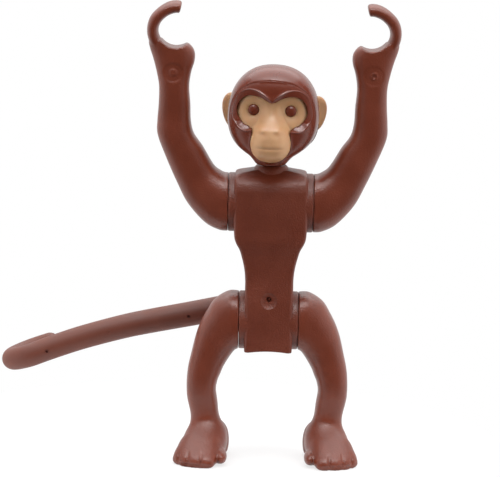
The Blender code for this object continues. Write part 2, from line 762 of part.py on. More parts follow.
def tail_path():
    """Centre line of the tail: out of the back, along behind the figure, and round its curl."""
    back = torso_depth(TAIL_ROOT_Z)
    root = back + RUN_GAP
    behind = back + TAIL_STANDOFF
    path = [(0.0, root, TAIL_ROOT_Z), (-0.1, root + 0.8, TAIL_ROOT_Z)]
    path.append((-1.5, behind - 0.45, TAIL_ROOT_Z - 0.15))
    path += [(x, behind, TAIL_ROOT_Z + rise) for x, rise in TAIL_POINTS]
    for angle in np.radians(np.linspace(15.0, TAIL_CURL_TURN, 9)):
        x = TAIL_CURL_X - TAIL_CURL_RADIUS * math.sin(angle)
        y = behind + TAIL_CURL_RADIUS * (1 - math.cos(angle))
        sink = TAIL_CURL_SINK * (1 - math.cos(angle)) / 2
        z = TAIL_ROOT_Z - TAIL_CURL_DROP + (x - TAIL_CURL_X) * TAIL_CURL_SLOPE - sink
        path.append((x, y, z))
    return smooth_rows(path, 2)


def make_tail(material):
    """A round tapering tail that curls back on itself, with a barbed peg for the back shell."""
    path = tail_path()
    heading = np.gradient(path, axis=0)
    heading[0] = (0, 1, 0)
    heading /= np.linalg.norm(heading, axis=1)[:, None]
    travel = np.linspace(0.0, 1.0, len(path))
    radii = TAIL_ROOT_RADIUS + (TAIL_TIP_RADIUS - TAIL_ROOT_RADIUS) * travel
    rings = []
    for point, way, radius in zip(path, heading, radii):
        across = np.cross(way, (0, 0, 1))
        across /= np.linalg.norm(across)
        rings.append(oval(point, across, np.cross(across, way), radius, radius, 2.0, 14))
    for back_off in (0.55, 0.85, 0.98):
        shift = heading[-1] * TAIL_TIP_RADIUS * back_off
        shrink = math.sqrt(1 - back_off**2)
        rings.append((rings[len(path) - 1] - path[-1]) * shrink + path[-1] + shift)
    pivot = (0, path[0][1], TAIL_ROOT_Z)
    tail = piece("tail", skin(rings), material, pivot)
    inside = torso_depth(TAIL_ROOT_Z) - WALL - RUN_GAP
    peg = rod((0, path[0][1] + BITE, TAIL_ROOT_Z), (0, inside - 0.2, TAIL_ROOT_Z), TAIL_PEG_RADIUS,
              segments=16)
    combine(tail, tool("tail_peg", peg), "UNION")
    barb = rod((0, inside, TAIL_ROOT_Z), (0, inside - TAIL_BARB_LONG, TAIL_ROOT_Z), TAIL_BARB_RADIUS,
               TAIL_PEG_RADIUS * 0.8, segments=16)
    combine(tail, tool("tail_barb", barb), "UNION")


def by_angle(table, turn):
    """A value of a table by its angle, the same on both sides, along a smooth curve."""
    line = smooth_rows(table, 4)[::-1]
    half_turn = np.degrees(np.arcsin(np.clip(np.sin(turn), -1.0, 1.0)))
    return np.interp(half_turn, line[:, 0], line[:, 1])


def outline_radius(turn):
    """Radius of the head's widest outline: a superellipse above, and a jaw that narrows below."""
    wide, tall = np.abs(np.cos(turn)) / HEAD_WIDE, np.abs(np.sin(turn)) / HEAD_UP
    crown = (wide**HEAD_SQUARE + tall**HEAD_SQUARE) ** (-1.0 / HEAD_SQUARE)
    return np.where(np.sin(turn) > 0, crown, by_angle(JAW_OUTLINE, turn))


def front_depth(radius, turn):
    """How far the head's front lies before its widest plane, fuller towards the jaw."""
    power = by_angle(FRONT_POWERS, turn)
    share = np.clip(radius / outline_radius(turn), 0.0, 1.0)
    return HEAD_FRONT * (1.0 - share**power) ** (1.0 / power)


def head_points(radius, ahead, turn):
    """Points of one ring about the head's centre, from radius, depth ahead of it and angle."""
    ahead = np.broadcast_to(ahead, turn.shape)
    return np.stack((radius * np.cos(turn), -ahead, HEAD_Z + radius * np.sin(turn)), axis=1)


def head_turns(count):
    """Angles round the head, the first at its side."""
    return np.linspace(0.0, 2.0 * math.pi, count, endpoint=False)


def mask_rings(count):
    """The front mask as a closed tube round the face: bevelled lip, ridge, sunk brow, the step up
    to the crown's rim, the crown, and the inside of the wall."""
    turn = head_turns(count)
    edge, outer = by_angle(WINDOW_EDGE, turn), outline_radius(turn)
    ridge = np.maximum(by_angle(RIDGE_LINE, turn), edge + 0.05)
    rim = np.maximum(by_angle(RIM_LINE, turn), ridge + 0.1)
    lip = WINDOW_LIP * np.clip((ridge - edge) / BEVEL_WIDE, 0.0, 1.0)
    brow = np.clip((np.sin(turn) + 0.35) / 0.5, 0.0, 1.0)
    recess = (CHEEK_RECESS + (BROW_RECESS - CHEEK_RECESS) * brow) * np.clip((rim - ridge) / 1.2, 0.0, 1.0)
    profile = [(edge, lip + 0.1), (ridge, 0.0 * turn)]
    for share in (0.4, 0.75):
        profile.append((ridge + (rim - ridge) * share, recess * share))
    profile.append((rim - RIM_STEP / 4, recess))
    profile.append((rim + RIM_STEP, 0.0 * turn))
    rings = [head_points(r, front_depth(r, turn) - sunk, turn) for r, sunk in profile]
    start = profile[-1][0] / outer
    for share in (0.35, 0.62, 0.82, 0.94):
        ratio = np.sin(np.arcsin(start) * (1 - share) + math.pi / 2 * share)
        rings.append(head_points(outer * ratio, front_depth(outer * ratio, turn), turn))
    rings.append(head_points(outer, SEAM_GAP / 2, turn))
    keep = 1.0 - WALL / HEAD_WIDE
    for share in (1.0, 0.97, 0.85, 0.6, 0.3, 0.0):
        radius = edge + (outer - edge) * share
        ahead = np.maximum(front_depth(radius, turn) * keep, SEAM_GAP / 2)
        rings.append(head_points(np.maximum(radius * keep, edge), ahead, turn))
    return rings


def rear_depth(share):
    """How far the rear shell reaches behind the widest plane at a share of the outline."""
    return HEAD_BACK * np.sqrt(np.maximum(1.0 - share**2.3, 0.0))


def rear_seat(x, z):
    """Depth of the middle of the rear shell's wall behind a point, where a pin is rooted."""
    share = math.hypot(x, z) / float(outline_radius(math.atan2(z, x)))
    return float(rear_depth(share)) - WALL / 2


def rear_rings(count):
    """The rear shell as a cup, from its outer pole round the rim to its inner pole."""
    turn = head_turns(count)
    outer = outline_radius(turn)
    rings = [np.array([(0.0, HEAD_BACK, HEAD_Z)])]
    shares = np.sin(np.radians((14.0, 30.0, 46.0, 62.0, 76.0, 86.0)))
    for share in shares:
        rings.append(head_points(outer * share, -rear_depth(share), turn))
    rings.append(head_points(outer, -SEAM_GAP / 2, turn))
    keep = 1.0 - WALL / HEAD_WIDE
    rings.append(head_points(outer * keep, -SEAM_GAP / 2, turn))
    for share in shares[4::-1]:
        rings.append(head_points(outer * share * keep, -rear_depth(share) * keep, turn))
    rings.append(np.array([(0.0, HEAD_BACK * keep, HEAD_Z)]))
    return rings


def hill(x, z, centre_x, centre_z, wide, high):
    """One at its centre, falling to nothing over a width and a height."""
    return np.exp(-(((x - centre_x) / wide) ** 2) - ((z - centre_z) / high) ** 2)


def face_ahead(x, z):
    """Depth of the face before the widest plane: cheeks with bowls round the eyes, the bridge of
    the nose, the block of the muzzle with nose and lip, and the groove of the mouth."""
    radius, turn = np.hypot(x, z), np.arctan2(z, x)
    aside = np.abs(x)
    ahead = front_depth(radius, turn) - FACE_RECESS
    ahead = ahead - EYE_SUNK * hill(aside, z, EYE_X, EYE_Z, EYE_BOWL, EYE_BOWL)
    ahead = ahead + BRIDGE_PROUD * hill(x, z, 0.0, 0.9, 0.85, 1.7)
    reach = (aside / MUZZLE_WIDE) ** 3.2 + (np.abs(z - MUZZLE_Z) / MUZZLE_HIGH) ** 3.2
    ahead = ahead + MUZZLE_PROUD * np.clip(1.0 - reach, 0.0, 1.0) ** 0.5
    ahead = ahead + NOSE_PROUD * hill(x, z, 0.0, NOSE_Z, 1.25, 0.95)
    lip = LIP_PROUD * np.exp(-(((z - LIP_Z) / 0.3) ** 2))
    mouth = MOUTH_DEEP * np.exp(-(((z - MOUTH_Z + 0.075 * x**2) / 0.22) ** 2))
    return ahead + (lip - mouth) * np.exp(-((x / MOUTH_WIDE) ** 6))


def face_rings(count):
    """The face as a closed hat: crown with the features, walls down to a brim at the parting."""
    turn = head_turns(count)
    edge = by_angle(WINDOW_EDGE, turn) - SEAM_GAP
    brim = np.maximum(outline_radius(turn) * (1.0 - WALL / HEAD_WIDE) - SEAM_GAP, edge)
    rings = [np.array([(0.0, -face_ahead(0.0, 0.0), HEAD_Z)])]
    for share in (0.12, 0.24, 0.36, 0.47, 0.56, 0.61, 0.66, 0.75, 0.84, 0.92, 0.97, 1.0):
        radius = edge * share
        rings.append(head_points(radius, face_ahead(radius * np.cos(turn), radius * np.sin(turn)), turn))
    rings.append(head_points(edge, 0.7, turn))
    rings.append(head_points(np.maximum(brim, edge + 0.01), 0.65, turn))
    rings.append(head_points(np.maximum(brim, edge + 0.01), SEAM_GAP / 2 - 0.2, turn))
    inner = edge - WALL * 0.8
    rings.append(head_points(inner, SEAM_GAP / 2 - 0.2, turn))
    for share in (1.0, 0.8, 0.55, 0.3):
        radius = inner * share
        under = face_ahead(radius * np.cos(turn), radius * np.sin(turn)) - WALL
        rings.append(head_points(radius, under - 0.25 * share, turn))
    rings.append(np.array([(0.0, -face_ahead(0.0, 0.0) + WALL, HEAD_Z)]))
    return rings


def skull_blank(grow):
    """The whole head as a closed egg, grown all round, for trimming the ears."""
    turn = head_turns(40)
    outer = outline_radius(turn) * (1.0 + grow / HEAD_WIDE)
    rings = [np.array([(0.0, -HEAD_FRONT, HEAD_Z)])]
    for angle in np.radians((-70.0, -50.0, -30.0, -12.0)):
        share = math.cos(angle)
        ahead = front_depth(share * outline_radius(turn), turn) * (1.0 + grow / HEAD_WIDE)
        rings.append(head_points(outer * share, ahead, turn))
    rings.append(head_points(outer, 0.0, turn))
    for angle in np.radians((12.0, 30.0, 50.0, 70.0)):
        share = math.cos(angle)
        rings.append(head_points(outer * share, -rear_depth(share) * (1.0 + grow / HEAD_WIDE), turn))
    rings.append(np.array([(0.0, HEAD_BACK + grow, HEAD_Z)]))
    return skin(rings)


def make_head(brown, beige):
    """Mask, rear shell with neck peg and eye pins, and the pale face with its ears."""
    pivot = (0, 0, NECK_PIVOT_Z)
    poise = empty("head_poise", FIGURE)
    poise.location = Vector(pivot) * MM
    poise.rotation_mode = "ZYX"
    poise.rotation_euler = (0.0, math.radians(HEAD_TILT), math.radians(HEAD_TURN))
    mask = piece("head_front", skin(mask_rings(36), loop=True), brown, pivot, poise)
    rear = piece("head_back", skin(rear_rings(32)), brown, pivot, poise)
    face = piece("face_and_ears", skin(face_rings(36)), beige, pivot, poise)
    socket = rod((0, 0, HEAD_BASE_Z - BITE), (0, 0, HEAD_BASE_Z + NECK_ROOT + RUN_GAP),
                 NECK_RADIUS + RUN_GAP)
    socket = tool("neck_clearance", socket, poise)
    combine(mask, socket, "DIFFERENCE")
    combine(face, socket, "DIFFERENCE")
    for side in (-1, 1):
        add_ear(side, mask, rear, face, poise)
        add_eye(side, rear, face, poise)
    flange_z = NECK_PIVOT_Z - FLANGE_THICK / 2
    peg = rod((0, 0, NECK_PIVOT_Z), (0, 0, HEAD_BASE_Z + NECK_ROOT), NECK_RADIUS, segments=20)
    combine(rear, tool("neck_peg", peg, poise), "UNION")
    flange = rod((0, 0, flange_z), (0, 0, flange_z + FLANGE_THICK), NECK_FLANGE_RADIUS)
    combine(rear, tool("neck_flange", flange, poise), "UNION")
    rib = block(
        (-WALL / 2, WALL / 2, HEAD_BASE_Z + NECK_RIB_LOW),
        (WALL / 2, NECK_RIB_BACK, HEAD_BASE_Z + NECK_ROOT),
    )
    combine(rear, tool("neck_rib", rib, poise), "UNION")


def add_ear(side, mask, rear, face, poise):
    """One ear on the pale moulding, and the slot at the parting that its root comes out of."""
    high, thick = EAR_ROOT_HIGH / 2, EAR_ROOT_THICK / 2
    ear_z = HEAD_Z + EAR_Z
    ear_x = HEAD_WIDE + EAR_OUT
    brim_x = HEAD_WIDE - WALL - SEAM_GAP
    root_x = HEAD_WIDE + EAR_ROOT_OUT
    root = block((side * (brim_x - BITE), -thick, ear_z - high), (side * root_x, thick, ear_z + high))
    slot = block(
        (side * (brim_x - WALL), -thick - SEAM_GAP, ear_z - high - SEAM_GAP),
        (side * (ear_x + 2 * EAR_WIDE), thick + SEAM_GAP, ear_z + high + SEAM_GAP),
    )
    slot = tool("ear_slot", slot, poise)
    combine(mask, slot, "DIFFERENCE")
    combine(rear, slot, "DIFFERENCE")
    sweep = side * math.radians(EAR_SWEEP)
    flap = egg((side * ear_x, EAR_BACK, ear_z), (EAR_WIDE, EAR_THICK, EAR_HIGH), sweep, 10, 16)
    flap = tool("ear_flap", flap, poise)
    combine(flap, tool("ear_trim", skull_blank(SEAM_GAP), poise), "DIFFERENCE")
    combine(face, flap, "UNION")
    combine(face, tool("ear_root", root, poise), "UNION")


def add_eye(side, rear, face, poise):
    """One eye: a long pin with a domed end on the rear shell, and its hole through the face."""
    x, z = side * EYE_X, HEAD_Z + EYE_Z
    tip = -face_ahead(EYE_X, EYE_Z) - EYE_PROUD
    base = tip + EYE_RADIUS * 0.5
    pin = rod((x, rear_seat(EYE_X, EYE_Z), z), (x, base, z), EYE_RADIUS, segments=16)
    combine(rear, tool("eye_pin", pin, poise), "UNION")
    dome = egg((x, base, z), (EYE_RADIUS * 0.99, EYE_RADIUS * 0.5, EYE_RADIUS * 0.99), rows=6)
    combine(rear, tool("eye_dome", dome, poise), "UNION")
    hole = rod((x, 0.0, z), (x, tip - 1.0, z), EYE_RADIUS + EYE_GAP, segments=16)
    combine(face, tool("eye_hole", hole, poise), "DIFFERENCE")


def centre_figure():
    """Move the whole figure so that the world's origin lies under the middle of its box."""
    bpy.context.view_layer.update()
    graph = bpy.context.evaluated_depsgraph_get()
    corners = []
    for part in PIECES.objects:
        mesh = part.evaluated_get(graph).to_mesh()
        mesh.transform(part.matrix_world)
        points = np.empty(len(mesh.vertices) * 3)
        mesh.vertices.foreach_get("co", points)
        points = points.reshape(-1, 3)
        corners += [points.min(axis=0), points.max(axis=0)]
    middle = (np.min(corners, axis=0) + np.max(corners, axis=0)) / 2
    FIGURE.location = (-round(float(middle[0]), 4), -round(float(middle[1]), 4), 0.0)


clear_scene()
PIECES = new_collection("toy_monkey_figure")
TOOLS = new_collection("toy_monkey_cutters")
FIGURE = empty("figure")

body_plastic = plastic("grained brown plastic", BROWN_BODY, 0.55)
limb_plastic = plastic("satin brown plastic", BROWN_LIMB, 0.38)
head_plastic = plastic("glossy brown plastic", BROWN_HEAD, 0.22)
tail_plastic = plastic("soft brown plastic", BROWN_TAIL, 0.5)
face_plastic = plastic("satin beige plastic", BEIGE_FACE, 0.42)

make_torso(body_plastic)
for label, sign in (("left", 1), ("right", -1)):
    make_arm(label + "_arm", sign, limb_plastic)
    make_leg(label + "_leg", sign, limb_plastic)
make_tail(tail_plastic)
make_head(head_plastic, face_plastic)
centre_figure()
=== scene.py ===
# %% [markdown]
# # A moulded toy monkey
# This lesson dresses a jointed plastic figure, about 65 mm tall over its raised hands. The packed
# model gives the joints, the sizes and the plain solids. Each step here makes one moulding again
# as a fine surface, gives it the plastic that the real one is made of, and lets it ride on the
# body that it belongs to. All shapes are worked out in millimetres in the figure's own frame: its
# middle plane at x = 0, its shoulder and hip axes at y = 0 and its soles at z = 0.

# %% The frame
import json
import math

import bmesh
import bpy
import numpy as np
from mathutils import Euler, Matrix, Vector


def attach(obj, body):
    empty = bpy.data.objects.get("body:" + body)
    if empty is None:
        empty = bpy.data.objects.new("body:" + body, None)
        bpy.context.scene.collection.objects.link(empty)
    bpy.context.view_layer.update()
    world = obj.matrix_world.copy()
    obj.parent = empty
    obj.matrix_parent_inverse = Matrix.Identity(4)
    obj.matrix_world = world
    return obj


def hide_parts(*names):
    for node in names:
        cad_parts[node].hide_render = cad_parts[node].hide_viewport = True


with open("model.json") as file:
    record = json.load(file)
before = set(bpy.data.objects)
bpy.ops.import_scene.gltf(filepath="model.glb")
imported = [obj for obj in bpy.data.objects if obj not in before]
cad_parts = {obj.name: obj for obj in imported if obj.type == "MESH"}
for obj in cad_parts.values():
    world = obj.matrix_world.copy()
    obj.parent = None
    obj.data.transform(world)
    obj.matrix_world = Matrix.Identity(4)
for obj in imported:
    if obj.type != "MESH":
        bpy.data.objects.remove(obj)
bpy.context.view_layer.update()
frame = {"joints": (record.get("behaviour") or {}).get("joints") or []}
joints = {joint["name"]: joint for joint in frame["joints"]}
MM = 0.001


def place_of(joint_name):
    """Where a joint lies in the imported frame, in millimetres."""
    return np.array(joints[joint_name]["pos_m"]) / MM


neck = place_of("neck")
FIGURE = np.array((neck[0], neck[1], 0.0))
SHOULDER_Z = place_of("left_shoulder")[2]
HIP_Z = place_of("left_hip")[2]
ARM_FACE = place_of("left_shoulder")[0] - FIGURE[0]
LEG_FACE = place_of("left_hip")[0] - FIGURE[0]
TAIL_ROOT = place_of("tail_swivel") - FIGURE
print("figure's middle", FIGURE, "shoulder", SHOULDER_Z, "hip", HIP_Z)

# %% [markdown]
# ## Camera
# The photograph was taken from a little above, from about 430 mm away, with the figure leaning
# 1.1 degrees to the right in the frame. A long lens gives the same flat perspective. The aim
# point, the distance and the elevation were found from where hands, head and feet stand in the
# picture, and one picture pixel is 0.14 mm at the aim point.

# %% Camera
AIM = (-2.8, 0.0, 31.4)
DISTANCE = 430.0
ELEVATION = 10.0
ROLL = 1.14
PIXEL = 0.14
PICTURE_WIDTH = 500
SENSOR = 36.0

lens = bpy.data.cameras.new("camera")
lens.sensor_width = SENSOR
lens.lens = SENSOR * DISTANCE / (PIXEL * PICTURE_WIDTH)
lens.clip_start = 0.01
camera = bpy.data.objects.new("camera", lens)
bpy.context.scene.collection.objects.link(camera)
up = math.radians(ELEVATION)
aim = Vector(AIM) + Vector(FIGURE)
camera.location = (aim + DISTANCE * Vector((0.0, -math.cos(up), math.sin(up)))) * MM
tip_back = Euler((math.pi / 2 - up, 0.0, 0.0)).to_matrix()
camera.rotation_euler = (tip_back @ Matrix.Rotation(math.radians(ROLL), 3, "Z")).to_euler()
bpy.context.scene.camera = camera
bpy.context.scene.view_settings.view_transform = "Standard"
print("lens", round(lens.lens, 1), "mm")

# %% [markdown]
# ## Nodes and colours
# Colours are written as they are seen on a screen, in hex, and one function turns them into the
# linear numbers that the shaders work with. Linear numbers could be typed in, but nobody can read
# a brown off them. One small function adds a node, sets it and links it.


# %% Nodes and colours
def linear(hex_colour):
    """Linear RGBA from sRGB hex: each channel is raised from the screen's curve to light."""
    screen = np.array([int(hex_colour[k : k + 2], 16) for k in (1, 3, 5)]) / 255
    light = np.where(screen <= 0.04045, screen / 12.92, ((screen + 0.055) / 1.055) ** 2.4)
    return (*light.tolist(), 1.0)


def add_node(tree, kind, settings=None, inputs=None):
    """Add one node: settings are its properties, inputs are values or the sockets to link."""
    made = tree.nodes.new(kind)
    for name, value in (settings or {}).items():
        setattr(made, name, value)
    for name, value in (inputs or {}).items():
        if isinstance(value, bpy.types.NodeSocket):
            tree.links.new(value, made.inputs[name])
        else:
            made.inputs[name].default_value = value
    return made


def new_material(name):
    """An empty node material and its output node."""
    material = bpy.data.materials.new(name)
    material.use_nodes = True
    material.node_tree.nodes.clear()
    return material, add_node(material.node_tree, "ShaderNodeOutputMaterial")


print("mid grey", round(linear("#808080")[0], 3))

# %% [markdown]
# ## The floor
# The figure stood on a sheet of white paper. The floor shows as white to the camera and to
# reflections, and round the feet it keeps a part of its own shading, so that they cast a faint
# shadow. Stronger lamps would also turn the paper white, but they would bleach the plastic.

# %% The floor
# Metres from the origin to the paper's edges. The paper ends not far ahead of the toes, so that it
# throws no light up the front of the figure.
FLOOR_SIDES = 3.0
FLOOR_BEHIND = 3.0
FLOOR_AHEAD = 0.024
# The part of the paper's own shading that shows, and the distances from the origin, in metres,
# between which it fades to white
FLOOR_SHOWS = 0.3
SHADOW_NEAR = 0.02
SHADOW_FAR = 0.045

floor_mesh = bpy.data.meshes.new("floor")
floor_mesh.from_pydata([(-FLOOR_SIDES, -FLOOR_AHEAD, 0), (FLOOR_SIDES, -FLOOR_AHEAD, 0),
                        (FLOOR_SIDES, FLOOR_BEHIND, 0), (-FLOOR_SIDES, FLOOR_BEHIND, 0)], [], [(0, 1, 2, 3)])
floor = bpy.data.objects.new("floor", floor_mesh)
bpy.context.scene.collection.objects.link(floor)


def seen_directly(tree):
    """One for rays from the camera, mirrored rays and rays through clear things, else nought. The
    light path node comes with it."""
    path = add_node(tree, "ShaderNodeLightPath")
    either = add_node(tree, "ShaderNodeMath", {"operation": "MAXIMUM"},
                      {0: path.outputs["Is Camera Ray"], 1: path.outputs["Is Glossy Ray"]})
    seen = add_node(tree, "ShaderNodeMath", {"operation": "MAXIMUM"},
                    {0: either.outputs[0], 1: path.outputs["Is Transmission Ray"]})
    return seen, path


white_sweep, sweep_out = new_material("white paper sweep")
tree = white_sweep.node_tree
seen, path = seen_directly(tree)
where = add_node(tree, "ShaderNodeTexCoord")
away = add_node(tree, "ShaderNodeVectorMath", {"operation": "LENGTH"}, {0: where.outputs["Object"]})
fade = add_node(tree, "ShaderNodeMapRange", None,
                {"Value": away.outputs["Value"], "From Min": SHADOW_NEAR, "From Max": SHADOW_FAR,
                 "To Min": 1.0 - FLOOR_SHOWS, "To Max": 1.0})
share = add_node(tree, "ShaderNodeMath", {"operation": "MULTIPLY"}, {0: seen.outputs[0], 1: fade.outputs[0]})
paper = add_node(tree, "ShaderNodeBsdfDiffuse", None, {"Color": linear("#fbfbfb")})
glow = add_node(tree, "ShaderNodeEmission", None, {"Color": (1, 1, 1, 1), "Strength": 1.0})
mixed = add_node(tree, "ShaderNodeMixShader", None, {0: share.outputs[0]})
tree.links.new(paper.outputs[0], mixed.inputs[1])
tree.links.new(glow.outputs[0], mixed.inputs[2])
tree.links.new(mixed.outputs[0], sweep_out.inputs["Surface"])
floor_mesh.materials.append(white_sweep)
print("floor", 2 * FLOOR_SIDES, "by", FLOOR_AHEAD + FLOOR_BEHIND, "m")

# %% [markdown]
# ## The tent
# Round the figure stood a white tent, open towards the camera. The room behind the camera is dim,
# which is what gives the plastic its dark fronts and pale edges. A picture of a studio wrapped
# round the scene would do the same, but two levels and a soft edge between them are enough. The
# camera itself sees plain white.

# %% The tent
# Levels of the white walls, as light and as the gloss mirrors them, and the room's share of that
TENT = 0.7
TENT_GLOSS = 1.0
ROOM = 0.1
# Degrees that the opening's middle lies above the level line, and the cosines of the angles from
# there at which the walls are white and at which the opening is dim
ROOM_ELEVATION = -3.0
WALLS_FROM = 0.15
OPENING_FROM = 0.5

world = bpy.data.worlds.new("tent")
world.use_nodes = True
world.node_tree.nodes.clear()
tree = world.node_tree
seen, path = seen_directly(tree)
level = add_node(tree, "ShaderNodeMapRange", None,
                 {"Value": seen.outputs[0], "To Min": TENT, "To Max": TENT_GLOSS})
way = add_node(tree, "ShaderNodeTexCoord")
rise = math.radians(ROOM_ELEVATION)
facing = add_node(tree, "ShaderNodeVectorMath", {"operation": "DOT_PRODUCT"},
                  {0: way.outputs["Generated"], 1: (0.0, -math.cos(rise), math.sin(rise))})
opening = add_node(tree, "ShaderNodeMapRange", {"interpolation_type": "SMOOTHSTEP"},
                   {"Value": facing.outputs["Value"], "From Min": WALLS_FROM, "From Max": OPENING_FROM,
                    "To Min": 1.0, "To Max": ROOM})
level = add_node(tree, "ShaderNodeMath", {"operation": "MULTIPLY"},
                 {0: level.outputs[0], 1: opening.outputs[0]})
tent = add_node(tree, "ShaderNodeBackground", None, {"Color": (1, 1, 1, 1), "Strength": level.outputs[0]})
white = add_node(tree, "ShaderNodeBackground", None, {"Color": (1, 1, 1, 1), "Strength": 1.0})
mixed = add_node(tree, "ShaderNodeMixShader", None, {0: path.outputs["Is Camera Ray"]})
tree.links.new(tent.outputs[0], mixed.inputs[1])
tree.links.new(white.outputs[0], mixed.inputs[2])
add_node(tree, "ShaderNodeOutputWorld", None, {"Surface": mixed.outputs[0]})
bpy.context.scene.world = world
print("tent", TENT, "room", TENT * ROOM)

# %% [markdown]
# ## Soft panels
# Two panels hang overhead, a large one that lights crown and shoulders and a small one nearer the
# front. One more stands at each side and only lights: it doesn't show in the gloss. A narrow
# bright lamp does the reverse, and gives the polished head its glints without lighting it. Point
# lamps would be simpler, but their shadows are hard, and a tent of cloth has none of those.

# %% Soft panels
# Degrees round from the front and up, then distance, width and height in metres, and radiance
PANELS = (
    ("overhead panel", 180.0, 77.0, 0.45, 0.70, 0.84, 1.7),
    ("front overhead panel", 0.0, 70.0, 0.40, 0.40, 0.16, 2.0),
    ("lamp for glints", 0.0, 57.5, 0.40, 0.18, 0.05, 18.0),
    ("left panel", -60.0, 12.0, 0.40, 0.30, 0.40, 2.4),
    ("right panel", 60.0, 12.0, 0.40, 0.30, 0.40, 2.9),
)


def soft_panel(name, azimuth, elevation, distance, width, height, radiance):
    """A panel of light that faces the figure. Its power is radiance times pi times its area."""
    lamp = bpy.data.lights.new(name, "AREA")
    lamp.shape = "RECTANGLE"
    lamp.size, lamp.size_y = width, height
    lamp.energy = radiance * math.pi * width * height
    panel = bpy.data.objects.new(name, lamp)
    bpy.context.scene.collection.objects.link(panel)
    around, rise = math.radians(azimuth), math.radians(elevation)
    away = Vector((math.sin(around) * math.cos(rise), -math.cos(around) * math.cos(rise), math.sin(rise)))
    panel.location = aim * MM + away * distance
    panel.rotation_euler = away.to_track_quat("Z", "Y").to_euler()
    panel.visible_camera = False
    return panel


panels = {row[0]: soft_panel(*row) for row in PANELS}
panels["lamp for glints"].visible_diffuse = False
for name in ("left panel", "right panel"):
    panels[name].visible_glossy = False
print("lights", list(panels))

# %% [markdown]
# ## Surfaces from arrays
# Every moulding starts as rings of points, worked out as one array with a row for each ring. A
# smooth curve runs through a few listed sections, each section becomes an oval, and a skin joins
# the ovals. Sculpting would do for one figure, but sections can be measured and set again.


# %% Surfaces from arrays
def smooth_through(rows, steps):
    """Points on a Catmull-Rom curve: each span blends four neighbouring rows with cubic weights,
    so the curve passes through every row and has no kink there."""
    rows = np.asarray(rows, dtype=float)
    ends = np.vstack((2 * rows[0] - rows[1], rows, 2 * rows[-1] - rows[-2]))
    a, b, c, d = ends[:-3], ends[1:-2], ends[2:-1], ends[3:]
    t = (np.arange(steps) / steps)[:, None, None]
    curve = b + 0.5 * ((c - a) * t + (2 * a - 5 * b + 4 * c - d) * t**2
                       + (3 * b - a - 3 * c + d) * t**3)
    curve = curve.transpose(1, 0, 2).reshape(-1, rows.shape[1])
    return np.vstack((curve, rows[-1]))


def turns(count):
    """Angles evenly spaced round a full turn."""
    return np.linspace(0.0, 2.0 * math.pi, count, endpoint=False)


def ovals(centres, across, over, half_widths, half_depths, powers, count):
    """Rings round many centres: cosine and sine of the angle, each raised to 2 over the power,
    times the half width along one direction and the half depth along the other."""
    turn = turns(count)[None, :, None]
    power = 2.0 / np.asarray(powers, dtype=float).reshape(-1, 1, 1)
    side = np.sign(np.cos(turn)) * np.abs(np.cos(turn)) ** power
    front = np.sign(np.sin(turn)) * np.abs(np.sin(turn)) ** power
    wide = np.asarray(half_widths, dtype=float).reshape(-1, 1, 1)
    deep = np.asarray(half_depths, dtype=float).reshape(-1, 1, 1)
    along, through = np.asarray(across)[:, None, :], np.asarray(over)[:, None, :]
    return np.asarray(centres)[:, None, :] + side * wide * along + front * deep * through


def skin(name, rings, loop=False):
    """A closed mesh over an array of rings, rows by columns by three. The columns close round, and
    the rows close round too in a loop. Otherwise the two ends get flat caps."""
    rows, columns = rings.shape[:2]
    number = np.arange(rows * columns).reshape(rows, columns)
    after = np.roll(number, -1, axis=1)
    below, above = number[:-1], number[1:]
    quads = np.stack((below, above, after[1:], after[:-1]), axis=-1)
    faces = quads.reshape(-1, 4).tolist()
    if loop:
        last = np.stack((number[-1], number[0], after[0], after[-1]), axis=-1)
        faces += last.tolist()
    else:
        faces += [number[0].tolist(), number[-1].tolist()]
    mesh = bpy.data.meshes.new(name)
    mesh.from_pydata(rings.reshape(-1, 3).tolist(), [], faces)
    return outward(mesh)


def outward(mesh):
    """Turn the faces of a closed mesh outwards, and put the mesh in an object."""
    data = bmesh.new()
    data.from_mesh(mesh)
    bmesh.ops.recalc_face_normals(data, faces=data.faces[:])
    if data.calc_volume(signed=True) < 0.0:
        bmesh.ops.reverse_faces(data, faces=data.faces[:])
    data.to_mesh(mesh)
    data.free()
    thing = bpy.data.objects.new(mesh.name, mesh)
    bpy.context.scene.collection.objects.link(thing)
    return thing


print("quarter turns", np.degrees(turns(4)))

# %% [markdown]
# ## Turned parts, blocks and joining
# Pegs, flanges, bosses and bores are round, so they are profiles carried round an axis, as on a
# lathe. Blender's own cylinders would do for the plain ones, but a profile also gives a rounded
# rim. Whole shapes are then united, cut or intersected, and the result is kept as a plain mesh.


# %% Turned parts, blocks and joining
def turned(name, start, end, profile, count=64):
    """A turned solid: a profile of (share of the way, radius) carried round the line from start
    to end."""
    start, end = np.array(start, dtype=float), np.array(end, dtype=float)
    way = (end - start) / np.linalg.norm(end - start)
    helper = np.array((0.0, 0.0, 1.0)) if abs(way[2]) < 0.9 else np.array((1.0, 0.0, 0.0))
    across = np.cross(helper, way)
    across /= np.linalg.norm(across)
    over = np.cross(way, across)
    share, radius = np.array(profile, dtype=float).T
    centres = start + share[:, None] * (end - start)
    ones = np.ones((len(share), 1))
    return skin(name, ovals(centres, ones * across, ones * over, radius, radius, 2.0 + 0 * share, count))


def rod(name, start, end, radius, count=64, edge=0.0):
    """A cylinder, with its far rim rounded by an edge radius where one is given."""
    if edge == 0.0:
        return turned(name, start, end, ((0.0, radius), (1.0, radius)), count)
    length = np.linalg.norm(np.array(end) - np.array(start))
    bend = np.linspace(0.0, math.pi / 2, 6)
    profile = [(0.0, radius)]
    profile += zip(1.0 - edge * (1.0 - np.sin(bend)) / length, radius - edge * (1.0 - np.cos(bend)))
    return turned(name, start, end, profile, count)


